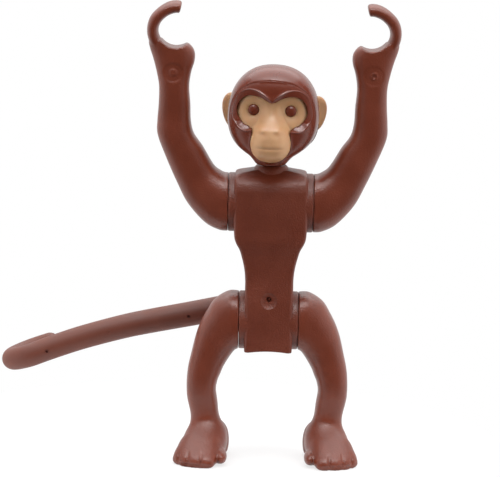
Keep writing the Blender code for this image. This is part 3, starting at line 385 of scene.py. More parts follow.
def block(name, low, high):
    """A box between two corners: four corners of the floor, carried up to the roof."""
    low, high = np.minimum(low, high), np.maximum(low, high)
    plan = np.array(((low[0], low[1]), (high[0], low[1]), (high[0], high[1]), (low[0], high[1])))
    floor_ring = np.column_stack((plan, np.full(4, low[2])))
    roof_ring = np.column_stack((plan, np.full(4, high[2])))
    return skin(name, np.stack((floor_ring, roof_ring)))


def combine(base, operation, tools):
    """Unite, cut or intersect a base with tools, then throw the tools away."""
    for tool in tools:
        step = base.modifiers.new(tool.name, "BOOLEAN")
        step.operation = operation
        step.solver = "MANIFOLD"
        step.object = tool
    settle(base)
    for tool in tools:
        bpy.data.objects.remove(tool, do_unlink=True)
    return base


def settle(thing):
    """Apply an object's modifiers."""
    graph = bpy.context.evaluated_depsgraph_get()
    mesh = bpy.data.meshes.new_from_object(thing.evaluated_get(graph))
    thing.modifiers.clear()
    thing.data = mesh
    return thing


trial = rod("trial", (0, 0, 0), (0, 0, 2), 1.0)
combine(trial, "DIFFERENCE", [block("bite", (0, -2, -1), (2, 2, 3))])
print("half a rod", [round(size, 2) for size in trial.dimensions], "mm")
bpy.data.objects.remove(trial, do_unlink=True)

# %% [markdown]
# ## Melting and softening
# Where two forms meet, a real moulding has a soft inner corner, because the steel of the mould is
# cut with round tools. A bevel can't follow such a seam, so the united shape is rebuilt in small
# voxels and relaxed. A wider blend, as at the ankle, relaxes one zone of the mesh many times.


# %% Melting and softening
def melt(thing, voxel, rounds):
    """Rebuild a closed shape in small voxels and relax them, which rounds every inner corner."""
    remesh = thing.modifiers.new("melt", "REMESH")
    remesh.mode = "VOXEL"
    remesh.voxel_size = voxel
    relax = thing.modifiers.new("relax", "SMOOTH")
    relax.factor = 0.5
    relax.iterations = rounds
    return settle(thing)


def points_of(mesh):
    """A mesh's points as an array."""
    points = np.empty(len(mesh.vertices) * 3)
    mesh.vertices.foreach_get("co", points)
    return points.reshape(-1, 3)


def set_points(mesh, points):
    """Move a mesh's points to an array's places."""
    mesh.vertices.foreach_set("co", np.ascontiguousarray(points).ravel())
    mesh.update()


def soften(mesh, weight, rounds):
    """Blend a zone of a mesh: in every round p' = p + w (mean of p's neighbours - p), with a
    weight w for each point."""
    ends = np.empty(2 * len(mesh.edges), dtype=np.int32)
    mesh.edges.foreach_get("vertices", ends)
    start, end = ends.reshape(-1, 2).T
    points = points_of(mesh)
    count = np.bincount(ends, minlength=len(points))
    for _ in range(rounds):
        total = np.stack([np.bincount(start, points[end, k], len(points))
                          + np.bincount(end, points[start, k], len(points))
                          for k in range(3)], axis=-1)
        points = points + weight[:, None] * (total / count[:, None] - points)
    set_points(mesh, points)


trial = block("trial", (0, 0, 0), (1, 1, 1))
soften(trial.data, np.full(8, 0.5), 1)
print("a softened cube's first corner", points_of(trial.data)[0].round(3))
bpy.data.objects.remove(trial, do_unlink=True)

# %% [markdown]
# ## Bringing a piece into the part
# A finished shape is moved into the imported frame, turned from millimetres to metres, and given its
# plastic. It then rides on its body, parented to an empty that stands for it, and the plain solid
# it stands in place of is hidden.


# %% Bringing a piece into the part
def dress(thing, name, body, node, material, sharp=40.0, turn=None):
    """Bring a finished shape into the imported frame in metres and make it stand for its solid."""
    place = Matrix.Translation(FIGURE) if turn is None else Matrix.Translation(FIGURE) @ turn
    thing.data.transform(Matrix.Scale(MM, 4) @ place)
    thing.name = thing.data.name = name
    thing.data.materials.clear()
    thing.data.materials.append(material)
    thing.data.shade_smooth()
    thing.data.set_sharp_from_angle(angle=math.radians(sharp))
    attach(thing, body)
    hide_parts(node)
    print(name, len(thing.data.polygons), "faces")
    return thing


# %% [markdown]
# ## Plastics
# All the mouldings are coloured ABS. What sets them apart is the steel that they were moulded
# against: the torso's mould was spark eroded, which leaves a fine even grain, the limbs' was
# blasted and is smoother, and the mask's was polished. A slow drift of colour and gloss stands for
# handling and for flow in the mould. A picture of worn plastic could be wrapped round each piece,
# but noise has no seams and its scale is a real size.


# %% Plastics
def moulded_abs(name, colour, dark, roughness, grain, height, drift, waxy=0.0):
    """Moulded ABS: a base colour that drifts to a darker one over millimetres, and a bump of
    fine noise. Grain and height are the size and depth of the mould's texture in millimetres.
    A waxy plastic lets light spread under its surface for about a millimetre."""
    material, out = new_material(name)
    tree = material.node_tree
    spot = add_node(tree, "ShaderNodeTexCoord").outputs["Object"]
    slow = add_node(tree, "ShaderNodeTexNoise", None,
                    {"Vector": spot, "Scale": 1.0 / (drift * MM), "Detail": 3.0, "Roughness": 0.55})
    tint = add_node(tree, "ShaderNodeValToRGB", None, {"Fac": slow.outputs[0]})
    tint.color_ramp.elements[0].position = 0.32
    tint.color_ramp.elements[0].color = linear(dark)
    tint.color_ramp.elements[1].position = 0.68
    tint.color_ramp.elements[1].color = linear(colour)
    fine = add_node(tree, "ShaderNodeTexNoise", None,
                    {"Vector": spot, "Scale": 1.0 / (grain * MM), "Detail": 2.0, "Roughness": 0.6})
    gloss = add_node(tree, "ShaderNodeMapRange", None,
                     {"Value": slow.outputs[0], "From Min": 0.3, "From Max": 0.7,
                      "To Min": roughness * 0.88, "To Max": roughness * 1.12})
    bump = add_node(tree, "ShaderNodeBump", None,
                    {"Strength": 1.0, "Distance": height * MM, "Height": fine.outputs[0]})
    shader = add_node(tree, "ShaderNodeBsdfPrincipled", None,
                      {"Base Color": tint.outputs[0], "Roughness": gloss.outputs[0],
                       "Normal": bump.outputs[0], "IOR": 1.54, "Metallic": 0.0,
                       "Subsurface Weight": waxy, "Subsurface Radius": (1.0, 0.5, 0.3),
                       "Subsurface Scale": MM})
    tree.links.new(shader.outputs[0], out.inputs["Surface"])
    return material


# The real grain is about 0.05 mm across, less than half a pixel, so each grain here is drawn 0.2 to
# 0.4 mm wide to show at all.
# Spark eroded steel: small even pits that break the gloss into a dull sparkle.
spark_grained = moulded_abs("spark grained brown ABS", "#6d301d", "#642b1a", 0.42, 0.22, 0.07, 3.0)
# Blasted steel: a satin skin with long soft lights down the limbs.
satin_limb = moulded_abs("satin brown ABS", "#723320", "#682d1b", 0.35, 0.24, 0.045, 4.0)
# Polished steel: smooth, with clear glints on rim and cheeks and a broad sheen on the crown.
polished = moulded_abs("polished brown ABS", "#6c2c19", "#632817", 0.28, 0.4, 0.008, 4.0)
# A softer grade for the tail: dull, and a little greyer than the rest.
soft_tail = moulded_abs("soft brown ABS", "#6c3626", "#632f20", 0.55, 0.2, 0.012, 3.0)
# Pale plastic lets light in, which fills the hollows of the face.
beige = moulded_abs("satin beige ABS", "#c3976f", "#ba8d66", 0.42, 0.3, 0.012, 2.5, 0.3)
print("plastics", [material.name for material in bpy.data.materials])

# %% [markdown]
# ## Torso
# On the real figure the torso is two half shells that close round the pegs of the limbs. Its
# sides are nearly flat and its waist is drawn in. It could be cut from a box and bevelled, but a
# stack of rounded boxes, each with its own width and depth, follows the mould better. Front and
# back bulge a little, and the seat is arched.

# %% Torso
TORSO_CORNER = 0.4
TORSO_BULGE = 0.07
SEAT_ARCH = 0.3
# Height above the hips or the shoulders, half width, half depth at the corners
WAIST_SECTIONS = (
    (-4.05, 2.95, 3.75),
    (-3.98, 3.18, 3.9),
    (-3.75, 3.32, 3.97),
    (-2.35, 3.33, 3.98),
    (0.05, 3.33, 4.0),
    (2.65, 3.33, 3.92),
    (4.75, 3.36, 3.7),
    (6.35, 3.37, 3.55),
    (7.95, 3.54, 3.55),
    (9.55, 3.92, 3.7),
)
CHEST_SECTIONS = (
    (-6.2, 4.24, 3.86),
    (-5.3, 4.72, 4.0),
    (-4.3, 5.0, 4.08),
    (-2.1, 5.1, 4.1),
    (1.4, 5.1, 4.1),
    (2.4, 5.1, 4.0),
    (3.2, 5.08, 3.7),
    (3.75, 5.02, 3.2),
    (4.15, 4.85, 2.65),
    (4.4, 4.3, 2.2),
    (4.6, 3.3, 1.9),
    (4.75, 2.6, 1.7),
)
torso_table = np.vstack((
    np.array(WAIST_SECTIONS) + (HIP_Z, 0, 0),
    np.array(CHEST_SECTIONS) + (SHOULDER_Z, 0, 0),
))
SEAT_Z, CHEST_TOP_Z = torso_table[0, 0], torso_table[-1, 0]


def torso_half(z, column):
    """Half width, column 1, or half depth, column 2, of the torso at a height."""
    return float(np.interp(z, torso_table[:, 0], torso_table[:, column]))


def torso_rings(table, inset, per_corner, per_face):
    """Rounded boxes at a table's heights, drawn in by an inset: four quarter circles and the faces
    between them. The front and the back bulge by a parabola, and the seat is arched by another."""
    z, half_width, half_depth = (table[:, k][:, None] for k in range(3))
    wide, deep = half_width - inset, half_depth - inset
    corner = np.minimum(TORSO_CORNER, 0.4 * deep)
    bend = np.linspace(0.0, math.pi / 2, per_corner)[None, :]
    along = np.linspace(1.0, -1.0, per_face + 2)[None, 1:-1]
    flat_x, flat_y = wide - corner, deep - corner
    half_x = (flat_x + corner * np.cos(bend), flat_x * along,
              -flat_x - corner * np.sin(bend), -wide + 0 * along)
    half_y = (flat_y + corner * np.sin(bend), deep + 0 * along,
              flat_y + corner * np.cos(bend), flat_y * along)
    half_x, half_y = np.hstack(half_x), np.hstack(half_y)
    x, y = np.hstack((half_x, -half_x)), np.hstack((half_y, -half_y))
    middle = 1.0 - (x / wide) ** 2
    y = y * (1.0 + TORSO_BULGE * middle)
    z = z + SEAT_ARCH * middle * np.clip(SEAT_Z + 1.0 - z, 0.0, 1.0)
    return np.stack((x, y, z), axis=-1)


def torso_blank():
    """The whole torso as one solid. The seat closes with a last ring at its middle."""
    rings = torso_rings(smooth_through(torso_table, 6), 0.0, 8, 24)
    seat = rings[0] * (0.02, 0.02, 1.0)
    seat[:, 2] = SEAT_Z + SEAT_ARCH
    inside = [rings[0] + (seat - rings[0]) * t for t in (1.0, 0.75, 0.5, 0.25)]
    return skin("torso", np.vstack((np.stack(inside), rings)))


print("torso from", round(SEAT_Z, 2), "to", round(CHEST_TOP_Z, 2), "mm")

# %% [markdown]
# ## Bearings and shells
# The limbs' pegs turn in bosses that stand on the torso's sides, and the neck's peg in a collar.
# They are turned discs with softened rims. Each half shell is the whole torso, hollowed, bored for
# the pegs and cut at the parting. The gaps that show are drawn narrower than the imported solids
# keep them, because the real mouldings touch.

# %% Bearings and shells
WALL = 1.0
RUN_GAP = 0.3
SEAM_GAP = 0.25
# How wide the gaps are that show: at the limbs, round the head's pieces, down the torso's sides
SHOW_GAP = 0.04
SEAM_SHOWS = 0.08
TORSO_SEAM = 0.01
# How far joined pieces reach into each other
BITE = 0.5
PEG_RADIUS = 1.8
ARM_FLANGE_RADIUS = 2.75
LEG_FLANGE_RADIUS = 2.6
FLANGE_THICK = 0.75
SHOULDER_BOSS_RADIUS = 4.12
HIP_BOSS_RADIUS = 4.08
BOSS_RIM = 0.12
# The lip on a boss: how long it is, and how much smaller and rounder than the boss
BOSS_LIP = 0.14
LIP_SMALLER = 0.05
NECK_RADIUS = 1.35
NECK_HOLE_WIDER = 0.15
COLLAR_RISE = 0.55
# The collar from its foot to its top: share of the way up, radius
COLLAR_PROFILE = ((0.0, 2.6), (0.5, 2.45), (0.7, 2.35), (0.85, 2.2), (0.96, 2.1), (1.0, 2.05))
ROOF_Z = CHEST_TOP_Z - WALL
COLLAR_TOP_Z = CHEST_TOP_Z + COLLAR_RISE


def bearing_parts():
    """The bosses that stand on the torso, each with a slightly smaller lip that meets the limb, and
    the holes and pockets that are cut for the pegs."""
    bosses, holes = [], []
    for z, face, radius, flange in (
        (SHOULDER_Z, ARM_FACE, SHOULDER_BOSS_RADIUS, ARM_FLANGE_RADIUS),
        (HIP_Z, LEG_FACE, HIP_BOSS_RADIUS, LEG_FLANGE_RADIUS),
    ):
        inner = torso_half(z, 1) - BITE
        for side in (-1, 1):
            start, line, end = ((side * x, 0, z) for x in (inner, face - BOSS_LIP, face - SHOW_GAP))
            bosses.append(rod("boss", start, line, radius, 128, BOSS_RIM))
            bosses.append(rod("lip", start, end, radius - LIP_SMALLER, 128, LIP_SMALLER))
        holes.append(rod("bearing", (-face - 1, 0, z), (face + 1, 0, z), PEG_RADIUS + RUN_GAP))
        outer = torso_half(z, 1) - WALL
        holes.append(rod("pocket", (-outer, 0, z), (outer, 0, z), flange + RUN_GAP))
    return bosses, holes


def torso_shell(facing):
    """One half shell: the whole torso with bosses and collar, hollowed, and cut at the parting."""
    shell = torso_blank()
    bosses, holes = bearing_parts()
    collar = turned("collar", (0, 0, CHEST_TOP_Z - BITE), (0, 0, COLLAR_TOP_Z), COLLAR_PROFILE, 96)
    combine(shell, "UNION", [*bosses, collar])
    middle = torso_table[(torso_table[:, 0] > SEAT_Z + WALL) & (torso_table[:, 0] < ROOF_Z)]
    hollow = skin("hollow", torso_rings(middle, WALL, 4, 8))
    neck_hole = rod("neck_hole", (0, 0, ROOF_Z - 3), (0, 0, COLLAR_TOP_Z + 1), NECK_RADIUS + NECK_HOLE_WIDER)
    reach = ARM_FACE + 1
    near, far = facing * TORSO_SEAM / 2, facing * reach
    side = block("side", (-reach, near, SEAT_Z - 1), (reach, far, COLLAR_TOP_Z + 1))
    combine(shell, "DIFFERENCE", [hollow, neck_hole, *holes])
    return combine(shell, "INTERSECT", [side])


torso_front = torso_shell(-1)
torso_back = torso_shell(1)
print("torso", len(torso_front.data.polygons), "and", len(torso_back.data.polygons), "faces")

# %% [markdown]
# ## The mark on the belly
# The dimple is where the molten plastic entered the mould. It keeps the broken-off end of the
# sprue inside it, so that nothing stands proud. A shallow ball and a small pit are cut, and a
# rounded nub is joined to the pit's floor. A bump map would be lost at the dimple's edge.

# %% The mark on the belly
MARK_RISE = 3.65
MARK_RADIUS = 1.15
MARK_DEPTH = 0.3
PIT_RADIUS = 0.34
PIT_DEPTH = 0.4
NUB_RADIUS = 0.17
NUB_ROUND = 0.1
# How far the nub's root lies below the pit's floor, and its top below the dimple's
NUB_ROOT = 0.2
NUB_TOP = 0.1

mark_z = HIP_Z + MARK_RISE
belly_y = -torso_half(mark_z, 2) * (1.0 + TORSO_BULGE)
ball_radius = (MARK_RADIUS**2 + MARK_DEPTH**2) / (2 * MARK_DEPTH)
arc = np.linspace(0.0, math.pi, 181)
ball_profile = np.column_stack(((1 - np.cos(arc)) / 2, np.maximum(ball_radius * np.sin(arc), 0.001)))
ball_back = belly_y + MARK_DEPTH
ball = turned("ball", (0, ball_back, mark_z), (0, ball_back - 2 * ball_radius, mark_z), ball_profile, 256)
pit = rod("pit", (0, ball_back - MARK_DEPTH, mark_z), (0, ball_back + PIT_DEPTH, mark_z), PIT_RADIUS, 48)
combine(torso_front, "DIFFERENCE", [ball, pit])
nub = rod("nub", (0, ball_back + PIT_DEPTH + NUB_ROOT, mark_z), (0, ball_back + NUB_TOP, mark_z),
          NUB_RADIUS, 32, NUB_ROUND)
combine(torso_front, "UNION", [nub])
dress(torso_front, "front_shell", "torso", "torso_front", spark_grained, 32.0)

# %% [markdown]
# ## The tail's socket
# The tail's peg turns in a plain round hole through the back shell, a little above the axis of the
# hips. The rings of the torso could leave a hole there, but they would need faces that follow it
# all the way. A rod that is cut out of the finished shell does the same and stays exactly round.

# %% The tail's socket
TAIL_PEG_RADIUS = 1.15

tail_z = TAIL_ROOT[2]
back_y = torso_half(tail_z, 2) * (1.0 + TORSO_BULGE)
socket = rod("socket", (0, back_y - 2, tail_z), (0, back_y + 1, tail_z), TAIL_PEG_RADIUS + RUN_GAP)
combine(torso_back, "DIFFERENCE", [socket])
dress(torso_back, "back_shell", "torso", "torso_back", spark_grained, 32.0)

# %% [markdown]
# ## Limbs
# Arms and legs are flattened tubes that bend. Each could be a curve with a bevel, but a limb's
# width and depth change separately. So a limb is a skin over ovals that run between an inner and
# an outer edge, and a peg with a flange on its root holds it in the torso.

# %% Limbs
LIMB_VOXEL = 0.13
LIMB_POWER = 2.6
# How far a peg reaches into its flange, and into its limb
FLANGE_BITE = 0.3
LIMB_BITE = 1.0


def limb_rings(table, side, face, axis_z, count):
    """Ovals between the inner and outer edges of a limb's table. Its columns are the inner edge
    out and up, the outer edge out and up, the depth and the y of the middle."""
    inner = np.column_stack(((face + table[:, 0]) * side, table[:, 5], axis_z + table[:, 1]))
    outer = np.column_stack(((face + table[:, 2]) * side, table[:, 5], axis_z + table[:, 3]))
    width = np.linalg.norm(outer - inner, axis=1)
    across = (outer - inner) / width[:, None]
    through = np.ones((len(table), 1)) * (0, 1, 0)
    power = np.full(len(table), LIMB_POWER)
    return ovals((inner + outer) / 2, across, through, width / 2, table[:, 4] / 2, power, count)


def limb_peg(face, z, side, flange_radius):
    """The peg on a limb's root and the flange at its end, inside the torso."""
    inner = torso_half(z, 1) - WALL - RUN_GAP
    peg = rod("peg", (side * (face + LIMB_BITE), 0, z), (side * (inner - FLANGE_BITE), 0, z), PEG_RADIUS)
    flange = rod("flange", (side * inner, 0, z), (side * (inner - FLANGE_THICK), 0, z), flange_radius)
    return [peg, flange]


print("flanges lie inside x =", round(torso_half(SHOULDER_Z, 1) - WALL - RUN_GAP, 2),
      "and", round(torso_half(HIP_Z, 1) - WALL - RUN_GAP, 2), "mm")

# %% [markdown]
# ## Traces of ejector pins
# The pins that push an arm out of its mould leave a round trace on the wrist: a shallow dish with a
# raised ring in it and a small pit in the middle. The two arms' traces aren't quite the same. A
# bump map could draw them, but they are wide enough to bend the light. So the points of the
# finished mesh are pressed in, by a depth that a short table gives for a distance from the middle.

# %% Traces of ejector pins
# Where the ejector traces lie, out from the arm's face and above the shoulder
MARK_OUT = 7.92
MARK_UP = 18.2
# Distance from the middle and depth there, for the figure's left and right arm
ARM_MARKS = {
    1: ((0.0, 0.16), (0.2, 0.1), (0.4, -0.02), (0.6, 0.1), (1.2, 0.08), (1.5, 0.0)),
    -1: ((0.0, 0.1), (0.2, 0.0), (0.45, 0.03), (0.6, 0.14), (1.2, 0.12), (1.45, 0.0)),
}


def pushed_in(thing, spot, shape):
    """Move the points that face forward near a spot back by a depth that depends on how far
    across the surface they lie from it: the trace of an ejector pin."""
    points = points_of(thing.data)
    radius = np.hypot(points[:, 0] - spot[0], points[:, 2] - spot[1])
    depth = np.interp(radius, *np.array(shape).T)
    points[:, 1] += np.where(points[:, 1] < 0.0, depth, 0.0)
    set_points(thing.data, points)


print("deepest traces", [max(depth for _, depth in ARM_MARKS[side]) for side in (1, -1)], "mm")

# %% [markdown]
# ## Arms
# Each arm is one moulding that bends at the elbow, swells at the wrist and ends in a palm with a
# half-round saddle and one long curled finger, so that the hand clips on a bar. Hand and arm could
# be sculpted as one, but the grip has to stay a true circle. So the finger is a second skin,
# carried round that circle. Both are melted together, which leaves the soft inner corners of a
# real mould, and the ejector's trace is pressed in.

# %% Arms
# Inner edge out and up, outer edge out and up, depth
ARM_SECTIONS = (
    (0.0, 4.02, 0.0, -4.02, 8.04),
    (0.55, 4.05, 1.25, -3.88, 7.8),
    (1.15, 4.35, 3.25, -2.85, 7.3),
    (1.9, 4.9, 5.63, -0.25, 6.6),
    (2.66, 6.0, 7.15, 2.6, 6.1),
    (3.68, 7.74, 8.7, 6.0, 5.7),
    (4.95, 9.55, 9.98, 9.3, 5.4),
    (5.4, 11.4, 10.05, 11.4, 5.0),
    (5.5, 13.6, 9.91, 13.6, 4.7),
    (5.7, 16.1, 9.89, 16.1, 4.4),
    (5.45, 18.1, 10.25, 18.1, 4.4),
    (5.0, 19.7, 10.73, 19.9, 4.5),
    (5.02, 20.95, 11.17, 21.2, 4.5),
    (5.6, 21.85, 11.4, 22.15, 4.3),
    (6.5, 22.4, 11.3, 22.75, 3.9),
)
GRIP_OUT = 7.65
GRIP_RISE = 24.0
GRIP_RADIUS = 2.4
# Round the grip from the outward direction: angle, inner radius, outer radius, depth
FINGER_SECTIONS = (
    (-48.0, 2.4, 4.1, 3.4),
    (-20.0, 2.45, 4.05, 4.0),
    (0.0, 2.42, 4.02, 4.3),
    (25.0, 2.3, 3.97, 4.4),
    (45.0, 2.2, 3.85, 4.4),
    (62.0, 2.2, 3.87, 4.4),
    (75.0, 2.22, 3.95, 4.35),
    (90.0, 2.3, 4.0, 4.3),
    (98.5, 2.31, 3.95, 4.25),
    (101.0, 2.4, 3.8, 4.05),
    (102.0, 2.6, 3.55, 3.6),
)
FINGER_POWER = 2.5
def make_arm(side):
    """One arm: limb, finger and grip."""
    table = np.column_stack((np.array(ARM_SECTIONS), np.zeros(len(ARM_SECTIONS))))
    arm = skin("arm", limb_rings(smooth_through(table, 6), side, ARM_FACE, SHOULDER_Z, 96))
    grip = np.array(((ARM_FACE + GRIP_OUT) * side, 0.0, SHOULDER_Z + GRIP_RISE))
    degrees, near, far, depth = smooth_through(FINGER_SECTIONS, 6).T
    angle = np.radians(degrees)
    rays = np.column_stack((np.cos(angle) * side, 0 * angle, np.sin(angle)))
    through = np.ones((len(angle), 1)) * (0, 1, 0)
    middle = grip + rays * ((near + far) / 2)[:, None]
    finger = ovals(middle, rays, through, (far - near) / 2, depth / 2, FINGER_POWER + 0 * angle, 64)
    bore = rod("bore", grip - (0, 5, 0), grip + (0, 5, 0), GRIP_RADIUS, 128)
    combine(arm, "DIFFERENCE", [bore])
    combine(arm, "UNION", [skin("finger", finger)])
    melt(arm, LIMB_VOXEL, 6)
    pushed_in(arm, ((ARM_FACE + MARK_OUT) * side, SHOULDER_Z + MARK_UP), ARM_MARKS[side])
    return combine(arm, "UNION", limb_peg(ARM_FACE, SHOULDER_Z, side, ARM_FLANGE_RADIUS))


for word, side in (("left", 1), ("right", -1)):
    arm = make_arm(side)
    dress(arm, word + "_arm_moulding", word + "_arm", word + "_arm", satin_limb, 50.0)

# %% [markdown]
# ## Feet
# The feet are broad and turn outwards. A foot is a wedge that slopes from the ankle down to the
# knuckles, where four toes end in short rounded fronts. It could be modelled toe by toe, but the
# real one is hardly more than a grooved wedge. So it is one surface of two parameters: how far
# along the foot, and where round its section. The front edge follows the line of the toe tips, and
# the grooves between the toes fade out up the instep.

# %% Feet
# Degrees that the figure's left and right foot point outwards
FOOT_TURN = {1: 8.0, -1: 9.3}
FOOT_OUT = 4.73
FOOT_BACK = 0.2
HEEL = -3.5
# Along the foot, as a share from heel to toe tips: half width, middle, height of the section
FOOT_SECTIONS = (
    (0.0, 1.2, -0.6, 1.9),
    (0.03, 1.75, -0.6, 3.0),
    (0.1, 2.3, -0.6, 4.4),
    (0.22, 2.65, -0.65, 5.6),
    (0.36, 2.85, -0.7, 6.4),
    (0.47, 2.97, -0.62, 6.1),
    (0.53, 3.02, -0.54, 5.45),
    (0.59, 3.05, -0.44, 4.85),
    (0.68, 3.1, -0.22, 4.05),
    (0.78, 3.08, -0.06, 3.15),
    (0.88, 3.1, 0.12, 2.25),
    (0.94, 3.08, 0.19, 1.72),
    (0.975, 3.04, 0.24, 1.35),
    (0.993, 2.92, 0.24, 1.0),
    (1.0, 2.78, 0.24, 0.7),
)
# Toes: where each one's middle lies across the foot, how far ahead of the ankle its tip lies
TOE_TIPS = ((-1.9, 7.6), (-0.15, 7.68), (1.5, 7.3), (2.9, 6.2))
# The same for the ends of the front edge, beside the inner and the outer toe
EDGE_FROM = (-3.6, 6.9)
EDGE_TO = (4.2, 4.4)
# Where the grooves between the toes lie across the foot
TOE_GAPS = (-1.03, 0.86, 2.27)
# The grooves: half width, depth as a share of the foot's height and at the tips in millimetres
GROOVE_WIDE = 0.17
GROOVE_DEEP = 0.42
GROOVE_BACK = 0.35
# Share of the way to the toe tips at which the grooves start, and over which they grow
GROOVES = (0.88, 0.12)
# The power of the ovals behind, what the toes add to it, where they start and over what share
FOOT_POWER = (2.1, 1.6, 0.62, 0.38)
# Shares of a section's height below and above its widest line
FOOT_BELOW = 0.42
FOOT_ABOVE = 0.58


def tip_line(across):
    """How far ahead the front edge lies at a distance across: a smooth line through the toe
    tips."""
    line = smooth_through((EDGE_FROM, *TOE_TIPS, EDGE_TO), 8)
    return np.interp(across, line[:, 0], line[:, 1])


def foot_rings(side, count):
    """The foot's wedge. Each ring is an oval, flat on the floor. Along the foot its points run a
    share of the way from the heel to the tip line, and over the toes the height drops into
    grooves."""
    table = smooth_through(FOOT_SECTIONS, 8)
    turn = turns(count)[None, :]
    share, half, middle, height = (table[:, k][:, None] for k in range(4))
    behind, more, start, span = FOOT_POWER
    power = 2.0 / (behind + more * np.clip((share - start) / span, 0.0, 1.0))
    side_way = np.sign(np.cos(turn)) * np.abs(np.cos(turn)) ** power
    up_way = np.sign(np.sin(turn)) * np.abs(np.sin(turn)) ** power
    across = middle + half * side_way
    groove = sum(np.exp(-(((across - gap) / GROOVE_WIDE) ** 2)) for gap in TOE_GAPS)
    fade = np.clip((share - GROOVES[0]) / GROOVES[1], 0.0, 1.0)
    top = height * FOOT_ABOVE * up_way * (1.0 - GROOVE_DEEP * groove * fade * (up_way > 0))
    lift = height * FOOT_BELOW + top
    ahead = HEEL + (tip_line(across) - HEEL) * share - GROOVE_BACK * groove * fade**2
    x, y = foot_place(side, ahead, across)
    return np.stack((x, y, np.maximum(lift, 0.0)), axis=-1)


def foot_place(side, ahead, across):
    """Places in the figure's frame from ahead and across in the foot's own turned frame."""
    angle = math.radians(FOOT_TURN[side])
    x = LEG_FACE + FOOT_OUT + ahead * math.sin(angle) + across * math.cos(angle)
    return x * side, FOOT_BACK - ahead * math.cos(angle) + across * math.sin(angle)


print("a toe tip lies", round(float(tip_line(np.array(0.0))), 2), "mm ahead of the ankle")

# %% [markdown]
# ## Big toe and heel
# A big toe stands back on the inner side of each foot, and a lump of a heel shows behind it. Both
# are stretched balls. A scaled sphere would do, but rings that are worked out in place carry their
# size and turn in their points, and nothing has to be applied before the pieces are joined.

# %% Big toe and heel
# Middles and half sizes. The big toe's is out from the middle of the foot, in the foot's frame:
# ahead, across, up. The heel's is in the figure's frame.
BIG_TOE = (3.4, -3.0, 1.1)
BIG_TOE_SIZES = (1.0, 2.9, 1.15)
BIG_TOE_TURN = -6.0
HEEL_LUMP = (7.05, 2.1, 1.85)
HEEL_LUMP_SIZES = (1.83, 1.9, 3.35)


def egg(name, centre, sizes, turn, count=48):
    """A ball stretched to three half sizes and turned about the upright axis."""
    arc = np.linspace(0.02, math.pi - 0.02, count // 2)
    centres = np.zeros((len(arc), 3))
    centres[:, 2] = np.cos(arc) * sizes[2]
    ones = np.ones((len(arc), 1))
    rings = ovals(centres, ones * (1, 0, 0), ones * (0, 1, 0), np.sin(arc) * sizes[0],
                  np.sin(arc) * sizes[1], 2 + 0 * arc, count)
    spin = np.array(Matrix.Rotation(turn, 3, "Z"))
    return skin(name, rings @ spin.T + np.asarray(centre))


print("big toe", BIG_TOE_SIZES, "heel", HEEL_LUMP_SIZES)

# %% [markdown]
# ## Legs
# The legs are bowed tubes. Leg, foot, toe and heel are melted together, the ankle is blended
# further, and the edge of the sole is drawn in, as a mould leaves it. A leg could be sculpted from
# one block, but as four forms each of them keeps its own few numbers and can be set again.

# %% Legs
# Inner edge out and up, outer edge out and up, depth, the y of the middle
LEG_SECTIONS = (
    (0.0, -4.0, 0.0, 4.0, 8.0, 0.0),
    (0.43, -4.2, 1.53, 3.95, 7.8, 0.0),
    (0.93, -4.85, 3.42, 2.77, 7.2, 0.0),
    (1.38, -5.55, 4.55, 1.03, 6.7, 0.0),
    (1.73, -6.15, 5.38, -0.62, 6.3, 0.0),
    (2.08, -6.8, 5.99, -2.36, 5.9, -0.1),
    (2.43, -7.7, 6.55, -4.75, 5.5, -0.2),
    (2.78, -8.55, 6.98, -6.75, 5.2, -0.3),
    (3.01, -9.75, 7.16, -8.75, 5.0, -0.3),
    (2.93, -10.75, 7.13, -10.65, 4.8, -0.2),
    (2.7, -11.95, 6.98, -11.95, 4.6, 0.0),
    (2.58, -13.35, 6.63, -13.35, 4.4, 0.1),
    (2.33, -14.65, 6.5, -14.65, 4.4, 0.2),
    (1.85, -16.25, 6.6, -16.25, 4.8, 0.2),
    (1.6, -18.25, 6.45, -18.25, 4.6, 0.2),
)
# Heights between which the ankle is blended, the spans over which that fades in from below and
# above, how strongly each round blends and how many there are
ANKLE_ZONE = (3.6, 9.2)
ANKLE_FADES = (1.2, 1.5)
ANKLE_BLEND = 0.6
ANKLE_ROUNDS = 90
# How far the sole's edge is drawn in, below what height, and towards what place in the foot's frame
SOLE_INSET = 0.3
SOLE_RISE = 0.55
SOLE_MIDDLE = (2.0, -0.2)


